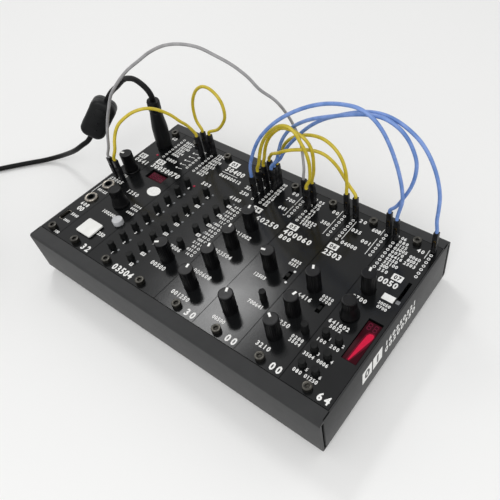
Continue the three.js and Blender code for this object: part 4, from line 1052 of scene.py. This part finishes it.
# Wide white pad on its square stem
padSizes = {
    "x": 24.8,
    "y": 13,
    "width": 11,
    "length": 9.8,
    "foot": 0.55,
    "top": 1.6,
    "corner": 0.9,
    "edge": 0.3,
    "stem": 5,
    "stemFoot": -6.15,
}


def makePad(sizes):
    x, y, edge, top, foot, stem = [sizes[key] for key in ("x", "y", "edge", "top", "foot", "stem")]
    rows = [(0.12, foot), (0, foot + 0.12)]
    bends = (0, 0.5, 1.05, math.pi / 2)
    rows += [(edge - edge * math.cos(a), top - edge + edge * math.sin(a)) for a in bends]
    bm = bmesh.new()
    roundBlock(bm, x, y, sizes["width"], sizes["length"], sizes["corner"], rows)
    slabAt(bm, x, y, stem, stem, sizes["stemFoot"], foot + 0.1, 0.3)
    makeMoving("touch_pad", "cap", bm, whiteAbs, "white_plastic", sharp=50)


makePad(padSizes)

# Nubs of the slide switches
slideSizes = {"width": 1.7, "length": 2.2, "foot": -1.75, "top": 0.7, "edge": 0.2}
slidePlaces = {"drum_switch": (133.3, 45), "bass_drum_switch": (156.8, 37.9)}
for slideName, slidePlace in slidePlaces.items():
    nub = bmesh.new()
    slabAt(nub, *slidePlace, *slideSizes.values(), 3)
    makeMoving(slideName, "nub", nub, capAbs, "soft_black_plastic")
print("buttons made")


# Collars of the two jacks
jackSizes = {
    "x": 5.9, "places": (29.3, 41.9), "radius": 3.68, "height": 1.2, "bore": 2.1, "depth": 2.5,
    "sides": 48,
}


def makeJacks(sizes):
    radius, top, bore, low = sizes["radius"], sizes["height"], sizes["bore"], -sizes["depth"]
    profile = [
        (radius, 0), (radius, top - 0.3), (radius - 0.3, top), (bore + 0.7, top), (bore + 0.3, top - 0.12),
        (bore, top - 0.45), (bore, low), (bore + 0.04, low), (bore + 0.06, 0),
    ]
    bm = bmesh.new()
    for y in sizes["places"]:
        turned(bm, sizes["x"], y, profile, sizes["sides"])
    makePiece("jack_collars", bm, nickel, "screw_steel", sharp=30)


makeJacks(jackSizes)

# Ring round the supply knob
knobRing = {"outer": 4.62, "inner": 3.78, "height": 0.95, "sides": 64}


def makeKnobRing(sizes):
    outer, inner, top = sizes["outer"], sizes["inner"], sizes["height"]
    profile = [
        (outer, 0), (outer, top - 0.25), (outer - 0.25, top), (inner + 0.1, top), (inner, top - 0.1),
        (inner, 0),
    ]
    bm = bmesh.new()
    turned(bm, *knobPlaces["supply_knob"][:2], profile, sizes["sides"])
    makePiece("supply_knob_ring", bm, knobAbs, "satin_black_plastic")


makeKnobRing(knobRing)

# Metal shell inside the socket's opening
usbSizes = {
    "x": 3.3, "y": 13, "width": 3.14, "length": 7.14, "corner": 1.2, "innerCorner": 0.95, "wall": 0.28,
    "top": -0.35, "depth": 5.5,
}


def makeUsbShell(sizes):
    bm = bmesh.new()
    x, y, width, length, low, high = [sizes[key] for key in ("x", "y", "width", "length", "depth", "top")]
    outside = roundRectangle(x, y, width, length, sizes["corner"])
    inside = roundRectangle(x, y, width - 2 * sizes["wall"], length - 2 * sizes["wall"], sizes["innerCorner"])
    rings = [
        [bm.verts.new((px, py, z)) for px, py in outline]
        for outline, z in ((outside, -low), (outside, high), (inside, high), (inside, -low))
    ]
    joinRings(bm, [*rings, rings[0]], False)
    makePiece("usb_shell", bm, nickel, "screw_steel")


makeUsbShell(usbSizes)

# White rings round the headers' holes, in columns of (x, first y, count)
ringSizes = {"bore": 0.46, "radius": 0.84, "rise": 0.03, "sides": 20}
sequencerColumn = (84.5, 28.9, 16)
holeCount = 8
samplerExtra = 2


def headerColumns():
    columns = []
    for module, (left, right) in headerX.items():
        extra = samplerExtra if module == "sampler" else 0
        columns.append((left, headerFirstY - extra * pinPitch, holeCount + extra))
        columns.append((right, headerFirstY, holeCount))
    return [*columns, sequencerColumn, *[(*supplyHole(i), 1) for i in range(3)]]


def makeHeaderRings(sizes):
    radius, bore, rise = sizes["radius"], sizes["bore"], sizes["rise"]
    bm = bmesh.new()
    for x, firstY, count in headerColumns():
        for i in range(count):
            profile = [(radius, 0), (radius, rise), (bore, rise), (bore, 0)]
            turned(bm, x, firstY + i * pinPitch, profile, sizes["sides"])
    makePiece("header_rings", bm, printInk, "white_plastic")


makeHeaderRings(ringSizes)

# Small lights: low domes beside the step and function buttons, and one on the supply module
lightSizes = {
    "radius": 0.72, "foot": 0.12, "rise": 0.45, "sides": 24, "offset": (4.6, 0.3), "functionX": 79,
    "functionOffset": 0.8, "supply": (10.7, 75.9),
}


def makeLights(sizes):
    foot, dome = sizes["foot"], sizes["rise"] - sizes["foot"]
    profile = [(0, 0), (sizes["radius"], 0), (sizes["radius"], foot)]
    profile += [(sizes["radius"] * math.cos(a), foot + dome * math.sin(a)) for a in (0.4, 0.8, 1.2)]
    profile.append((0, sizes["rise"]))
    offsetX, offsetY = sizes["offset"]
    rows = ("step_buttons_a", "step_buttons_b")
    places = [(rowX[row] + offsetX, y + offsetY) for row in rows for y in stepY]
    places += [(sizes["functionX"], y + sizes["functionOffset"]) for y in functionY[1:]]
    lit = [places.pop(len(stepY) - 1), sizes["supply"]]
    for name, finish, group in (("clear_lights", clearLens, places), ("lit_lights", litLens, lit)):
        bm = bmesh.new()
        for x, y in group:
            turned(bm, x, y, profile, sizes["sides"])
        makePiece(name, bm, finish, "white_plastic", sharp=60)


makeLights(lightSizes)

# Displays: a red window in each recess with a faint painted glow, and figures and a level that glow in its
# face
windows = {"control": (25.2, 61.6, 10.8, 5.7), "sampler": (182.15, 33.7, 6.9, 22)}
windowTop = -0.5
windowFoot = -0.88
figures = [(21.3 + i * 2.6, 61.6, 1.8, 3.8) for i in range(4)] + [(x, 42.1, 1.9, 3.6) for x in (180.7, 183.7)]
# the seven strokes of a figure as shares of its box: x, y, width, length
figureStrokes = [(0.5, y, 0.7, 0.1) for y in (0.95, 0.5, 0.05)]
figureStrokes += [(x, y, 0.14, 0.36) for x in (0.08, 0.92) for y in (0.74, 0.26)]
# the lit level, a wedge that narrows towards the front, and the painted glow halo round it
levelOutline = [
    (181.3, 23.4), (181.8, 23.2), (184.3, 33.5), (185.1, 37), (185.1, 38.2), (184.7, 39), (183.9, 39.2),
    (182.6, 38.8), (182, 37.6), (181.6, 32),
]
glowHaloOutline = [
    (180.6, 22.9), (182.2, 22.9), (185, 32.5), (185.5, 36.8), (185.5, 38.5), (184.9, 39.8), (183.7, 40),
    (182, 39.4), (181.3, 37.8), (180.9, 32),
]


def makeDisplays():
    low = windowTop - 0.1
    for name, place in windows.items():
        bm = bmesh.new()
        # the window's face is painted with a faint red glow
        slabAt(bm, *place, windowFoot, windowTop, 0.12)
        makePiece(name + "_window", bm, redWindow, "black_board")
    bm = bmesh.new()
    for x, y, width, length in figures:
        for shareX, shareY, wide, long in figureStrokes:
            middleX, middleY = x + (shareX - 0.5) * width, y + (shareY - 0.5) * length
            slabAt(bm, middleX, middleY, wide * width, long * length, low, windowTop + 0.03)
    makePiece("dim_figures", bm, dimSegment, "black_board")
    # the first plate is a painted red glow halo round the lit wedge, the second the lit wedge itself
    for name, outline, finish, rise in (
        ("level_glow_halo", glowHaloOutline, levelGlowHalo, 0.02), ("level_wedge", levelOutline, litSegment, 0.04),
    ):
        bm = bmesh.new()
        plate(bm, outline, low, windowTop + rise)
        makePiece(name, bm, finish, "black_board")


makeDisplays()
print("sockets, lights and displays made")

# Printed marks: plain numbers from one running series, framed boxes, lines and discs
markSizes = {
    "rise": 0.03,
    "over": 0.05,
    "low": -0.01,
    "line": 0.32,
    "bold": 0.034,
    "capHeight": 0.69,
    "advance": 0.88,
    "narrow": 0.95,
    "small": 1.5,
}
digitSeries = "10020035040006080012503005007006416025032"
labelFirstY = 94.68


# Labels are (left edge, right edge, middle, height). These stand beside the holes of a column.
def holeLabels(left, *rights):
    return [(left, right, round(labelFirstY - i * pinPitch, 1), 1.85) for i, right in enumerate(rights)]


# The series fills each label from edge to edge.
labels = [
    # supply
    (8.5, 12.2, 2, 1.6), (5.9, 10.5, 10.2, 1.4), (5.9, 11.5, 15.3, 1.7), (5, 9.5, 20.5, 2.9),
    (3.5, 10, 24, 2.2), (3, 10.5, 36.4, 1.7), (1, 12, 47, 2.3), (4, 10, 52.4, 1.6), (1, 12, 67, 2.9),
    (6.8, 10.6, 92.5, 2.4),
    # control
    (30.5, 35.5, 13.6, 2.2), (30, 37, 3, 3.4), (19, 29, 26.4, 2), (31.2, 37, 38.5, 1.5), (31.2, 37, 36, 1.5),
    (31.2, 37, 32.8, 1.5), (18.5, 28, 44.6, 2.4), (14, 37, 68, 3.2), (17.6, 25, 94, 1.85),
    (17.6, 24, 91.5, 1.85), (17.6, 25, 88.9, 1.85), (17.6, 23, 86.4, 1.85), (17.6, 24.5, 84, 1.85),
    (17.6, 23.5, 81.5, 1.85), (18, 26, 76.6, 2.2),
    # sequencer
    *holeLabels(42.6, 49, 47.5, 50, 48.5, 49.5, 47, 49, 48),
    (55, 69, 88.6, 3.2), (55, 71, 82.8, 2.2), (51, 58, 72, 2.4), (69.6, 79.6, 15.2, 2.3), (70, 77.6, 28, 2.3),
    (72.5, 80.5, 71.8, 2.3), (75, 81, 77.8, 2.2), (75, 80, 82.4, 2.2), (76, 80.5, 87.3, 2.2),
    (76.5, 80.5, 92, 2.2), (55, 69, 3, 3.4),
    # mixer
    *holeLabels(92, 95, 95.4, 94.8, 95.2, 95, 95.4, 94.8, 95.2),
    (100.5, 105, 92.2, 2.2), (100.5, 106, 87, 2.2), (100.5, 106, 80, 2.2), (95, 110, 67.2, 3.2),
    *[(91.5, 103, y, 2.2) for y in (53.3, 38.2, 23.1, 8)],
    (105, 112, 3, 3.4),
    # drum
    (117, 120.6, 94.2, 1.85), (117, 120, 91.6, 1.85), (117, 120.8, 89.1, 1.85), (117, 120.2, 86.6, 1.85),
    (117, 120.8, 84, 1.85), (117, 120.2, 81.6, 1.85), (117, 126, 79, 2), (117, 124.6, 76.6, 2),
    (127, 131.4, 92, 2.2), (126, 131.4, 83, 2.2), (113.4, 131, 67.4, 3.2), (113.4, 121, 63.4, 2.6),
    (118, 125.4, 37.6, 1.85), (118, 125.4, 8, 1.85), (126, 135, 23.6, 1.85), (128.6, 134.4, 54.2, 1.7),
    (128.6, 134.4, 51.8, 1.7), (130, 137, 3, 3.4),
    # bass drum
    (142.6, 147.4, 94, 2.2), (142.6, 148.6, 86.5, 2.2), (142.6, 152, 76.6, 2.2), (151.6, 156.6, 92, 2.2),
    (150.6, 156.6, 82.7, 2.2), (138.4, 149, 67.2, 3.2), (153.6, 160, 44.4, 1.7), (153.6, 160, 42.2, 1.7),
    (143.4, 151.4, 39, 2.2), (143.4, 151.4, 22.4, 2.2), (143.4, 151.4, 8.4, 2.2), (154.4, 161, 19.6, 1.7),
    (154.4, 161, 17.4, 1.7), (155, 162, 3, 3.4),
    # sampler
    *holeLabels(166.9, 170, 172.5, 173, 174.5, 174, 174.5, 173.4, 175, 171, 172.5),
    (177, 181.4, 92, 2.2), (176, 182, 86.4, 1.85), (176, 182, 83.9, 1.85), (175.4, 182, 81.4, 1.85),
    (170, 180.6, 67, 3.2), (165, 173, 52, 2.2), (163.6, 174.6, 35.2, 2), (165.6, 172, 32.8, 1.85),
    (164.4, 169.6, 24.4, 1.7), (171.4, 176.4, 24.4, 1.7), (163.6, 169.4, 15.6, 1.7),
    (170.8, 176.6, 15.6, 1.7), (164.4, 169.2, 7, 1.7), (170.4, 177.2, 7, 1.7), (177, 183.4, 55.3, 1.6),
    (177.6, 182.8, 53, 1.6), (179.6, 186.6, 3, 3.4),
]
# Boxes of white ink with their number in black: middle, width, length and number
boxes = [
    (3.7, 71, 5.2, 3.8, "01"), (17.4, 72.2, 6, 3.8, "02"), (57.5, 93.4, 6, 4.4, "03"),
    (92, 71.8, 6, 3.8, "04"), (116.2, 71.8, 6, 3.8, "05"), (141.2, 71.8, 5.6, 3.8, "06"),
    (177.8, 71.6, 5.4, 3.8, "07"),
    *[(77.6, y, 2.6, 2, str(i + 1)) for i, y in enumerate((65.4, 57.5, 49.3, 41.1))],
]
boxedSteps = {"step_buttons_a": (), "step_buttons_b": (0, 1, 3, 4, 6)}
# Lines: both ends
switchY = (73.9, 77.6, 81.3, 85, 88.5, 92.3)
lines = [
    (1.7, 33, 1.7, 48), (1.7, 33, 2.6, 31.6), (1.7, 48, 3, 48), (107.2, 76.2, 107.2, 84.2),
    (107.2, 85.4, 107.2, 95), (106.2, 76.2, 107.2, 76.2), (106.2, 95, 107.2, 95), (131.9, 76.2, 131.9, 87.8),
    (131.9, 89.2, 131.9, 95), (142, 78.2, 142, 92), (157.1, 76.2, 157.1, 87.8), (157.1, 90.8, 157.1, 95),
    (182.6, 89, 182.6, 94.8),
    (55, 85.5, 66, 85.5), *[(30.1, y, 32.6, y + 0.5) for y in switchY],
]
# Discs and plain blocks: middle, width and length
discs = [(32.6, 52, 8.6, 7), (134.7, 48.6, 1.3, 1.3), (134.7, 41.2, 1.3, 1.3)]
discs += [(28.9, y, 1.2, 1.2) for y in switchY]
whiteBlock = (180, 59.5, 6, 3.6)
greyBlock = (184.9, 59.4, 2, 2)
# On the right side plate, along Y: labels and boxes, their middles above the panels
sideLabels = [(42.6, 71.6, -10, 3.6), (42.6, 71.6, -15.4, 4)]
sideBoxes = [(27.6, -12.2, 7.8, 9.6, "0"), (36.4, -12.2, 7.8, 9.6, "1")]
sideTurn = Matrix(((0, 0, 1, rowWidth + sideSheet + 0.04), (1, 0, 0, 0), (0, 1, 0, 0), (0, 0, 0, 1)))
glyphs = {}


# A digit's flat mesh at size 1 from the font that Blender carries, placed round its own middle.
def digitShape(digit):
    if digit not in glyphs:
        letter = bpy.data.curves.new("digit" + digit, "FONT")
        letter.body = digit
        letter.resolution_u = 2
        letter.offset = markSizes["bold"]
        holder = bpy.data.objects.new("digit" + digit, letter)
        bm = bmesh.new()
        bm.from_mesh(bpy.data.meshes.new_from_object(holder))
        bmesh.ops.remove_doubles(bm, verts=bm.verts, dist=0.0005)
        bm.verts.index_update()
        xs, ys = [vert.co.x for vert in bm.verts], [vert.co.y for vert in bm.verts]
        middleX, middleY = (min(xs) + max(xs)) / 2, (min(ys) + max(ys)) / 2
        rim = [edge.link_loops[0] for edge in bm.edges if len(edge.link_loops) == 1]
        glyphs[digit] = {
            "points": [(x - middleX, y - middleY) for x, y in zip(xs, ys)],
            "faces": [[vert.index for vert in face.verts] for face in bm.faces],
            "rim": [(loop.vert.index, loop.link_loop_next.vert.index) for loop in rim],
        }
        bm.free()
        bpy.data.objects.remove(holder)
    return glyphs[digit]


# A number as raised solids that fill a width: each digit has a cap, a foot and a wall round its rim.
def addNumber(bm, text, x0, x1, y, height, low, high, turn=noTurn):
    step = (x1 - x0) / len(text)
    scale = height / markSizes["capHeight"]
    for i, digit in enumerate(text):
        shape, x = digitShape(digit), x0 + (i + 0.5) * step
        foot, cap = [
            [
                bm.verts.new(turn @ Vector((x + px * scale * markSizes["narrow"], y + py * scale, z)))
                for px, py in shape["points"]
            ]
            for z in (low, high)
        ]
        for face in shape["faces"]:
            bm.faces.new([cap[k] for k in face])
            bm.faces.new([foot[k] for k in reversed(face)])
        for a, b in shape["rim"]:
            bm.faces.new((cap[b], cap[a], foot[a], foot[b]))


def addLine(bm, x0, y0, x1, y1, width, low, high):
    along = Vector((x1 - x0, y1 - y0))
    place = Matrix.Translation(((x0 + x1) / 2, (y0 + y1) / 2, 0))
    spin = Matrix.Rotation(math.atan2(along.y, along.x), 4, "Z")
    slabAt(bm, 0, 0, along.length + width, width, low, high, turn=place @ spin)


def addBox(white, dark, x, y, width, length, number, sizes, turn=noTurn):
    plate(white, roundRectangle(x, y, width, length, 0.3, 3), sizes["low"], sizes["rise"], turn)
    half, height = width * 0.18 * len(number), length * 0.62
    addNumber(dark, number, x - half, x + half, y, height, sizes["low"], sizes["over"], turn)


def makeMarks(sizes):
    low, high, small = sizes["low"], sizes["rise"], sizes["small"]
    white, dark, grey = bmesh.new(), bmesh.new(), bmesh.new()
    # the sequencer's column has a short number at each hole
    x, y, count = sequencerColumn
    edge = x - 1.6
    column = [(edge - 2.6 - (i * 3 % 5) * 0.5, edge, y + i * pinPitch, small) for i in range(count)]
    start = 0
    for group, turn in ((labels + column, noTurn), (sideLabels, sideTurn)):
        for x0, x1, y, height in group:
            count = max(1, round((x1 - x0) / (height * sizes["advance"])))
            text = "".join(digitSeries[(start + i) % len(digitSeries)] for i in range(count))
            start += count
            addNumber(white, text, x0, x1, y, height, low, high, turn)
    for group, turn in ((boxes, noTurn), (sideBoxes, sideTurn)):
        for box in group:
            addBox(white, dark, *box, sizes, turn)
    number = 0
    for row, boxed in boxedSteps.items():
        for i, y in enumerate(stepY):
            number += 1
            x, text = rowX[row] + 3, str(number)
            half = 0.5 * len(text)
            if i in boxed:
                addBox(white, dark, x, y - 2.6, 2 * half + 1, 1.9, text, sizes)
            else:
                addNumber(white, text, x - half, x + half, y - 2.6, small, low, high)
    for i in range(6):
        x = 169.2 + 6.8 * (i % 2)
        addNumber(white, str(i + 1), x, x + 1.3, (27, 18.2, 9.6)[i // 2], small, low, high)
    for ends in lines:
        addLine(white, *ends, sizes["line"], low, high)
    for x, y, width, length in discs:
        outline = [(x + width / 2 * px, y + length / 2 * py) for px, py in arc(0, 0, 1, 0, 352, 44)]
        plate(white, outline, low, high)
    slabAt(white, *whiteBlock, low, high)
    plate(grey, roundRectangle(*greyBlock, 0.3, 2), low, high)
    makePiece("printed_marks", white, printInk, "white_plastic")
    makePiece("printed_box_numbers", dark, solderMask, "black_board")
    makePiece("grey_mark", grey, greyInk, "grey_plastic")


makeMarks(markSizes)
print("marks printed")

# Floor, backdrop light and lamps
floorSizes = {"side": 6, "cells": 8, "drop": 0.0004, "toneSize": 1000 / 3}
# Pale backdrop paper: flat and even
floorFinish = newFinish(
    "palePaper", {"Roughness": 0.9, "IOR": 1.3}, ("#f1f1f0", "#f5f5f4"), floorSizes["toneSize"]
)[0]


def makeFloor(sizes):
    bm = bmesh.new()
    bmesh.ops.create_grid(bm, x_segments=sizes["cells"], y_segments=sizes["cells"], size=sizes["side"] / 2)
    mesh = bpy.data.meshes.new("paperFloor")
    bm.to_mesh(mesh)
    bm.free()
    mesh.materials.append(floorFinish)
    floor = bpy.data.objects.new("paperFloor", mesh)
    floor.location = (0, 0, -sizes["drop"])
    bpy.context.scene.collection.objects.link(floor)


makeFloor(floorSizes)
lamps = {
    "keyBox": {
        "place": (-0.607, 0.382, 1.025), "along": (-0.03, -0.125, 0.025), "size": (0.25, 0.16),
        "power": 2.1,
    },
    "fillBox": {"place": (0.45, -0.6, 0.75), "along": (1, 0, 0), "size": (0.8, 0.8), "power": 4.4},
}


# A soft box that looks at the centre, with its long side laid along the given direction.
def makeLamp(name, look):
    lamp = bpy.data.lights.new(name, "AREA")
    lamp.shape = "RECTANGLE"
    lamp.size, lamp.size_y = look["size"]
    lamp.energy = look["power"]
    stand = bpy.data.objects.new(name, lamp)
    place, along = Vector(look["place"]), Vector(look["along"])
    back = place.normalized()
    side = (along - back * along.dot(back)).normalized()
    roll = Matrix((side, back.cross(side), back)).transposed()
    stand.matrix_world = Matrix.Translation(place) @ roll.to_4x4()
    bpy.context.scene.collection.objects.link(stand)


for lampName, lampLook in lamps.items():
    makeLamp(lampName, lampLook)

# The world lights at a plain level; the camera, gloss and glass see it as white
worldLevel = 0.665
world = bpy.data.worlds.new("studioWorld")
world.use_nodes = True
bpy.context.scene.world = world
world.node_tree.nodes.clear()
rays = addNode(world.node_tree, "ShaderNodeLightPath")
adding = {"operation": "ADD", "use_clamp": True}
seen = addNode(world.node_tree, "ShaderNodeMath", adding, {
    0: rays.outputs["Is Camera Ray"], 1: rays.outputs["Is Glossy Ray"],
})
white = addNode(world.node_tree, "ShaderNodeMath", adding, {
    0: seen.outputs[0], 1: rays.outputs["Is Transmission Ray"],
})
level = addNode(world.node_tree, "ShaderNodeMapRange", {"To Min": worldLevel, "To Max": 1}, {
    "Value": white.outputs[0],
})
sky = addNode(world.node_tree, "ShaderNodeBackground", {"Color": hexColour("#ffffff")}, {
    "Strength": level.outputs["Result"],
})
addNode(world.node_tree, "ShaderNodeOutputWorld", links={"Surface": sky.outputs[0]})
print("stage set")
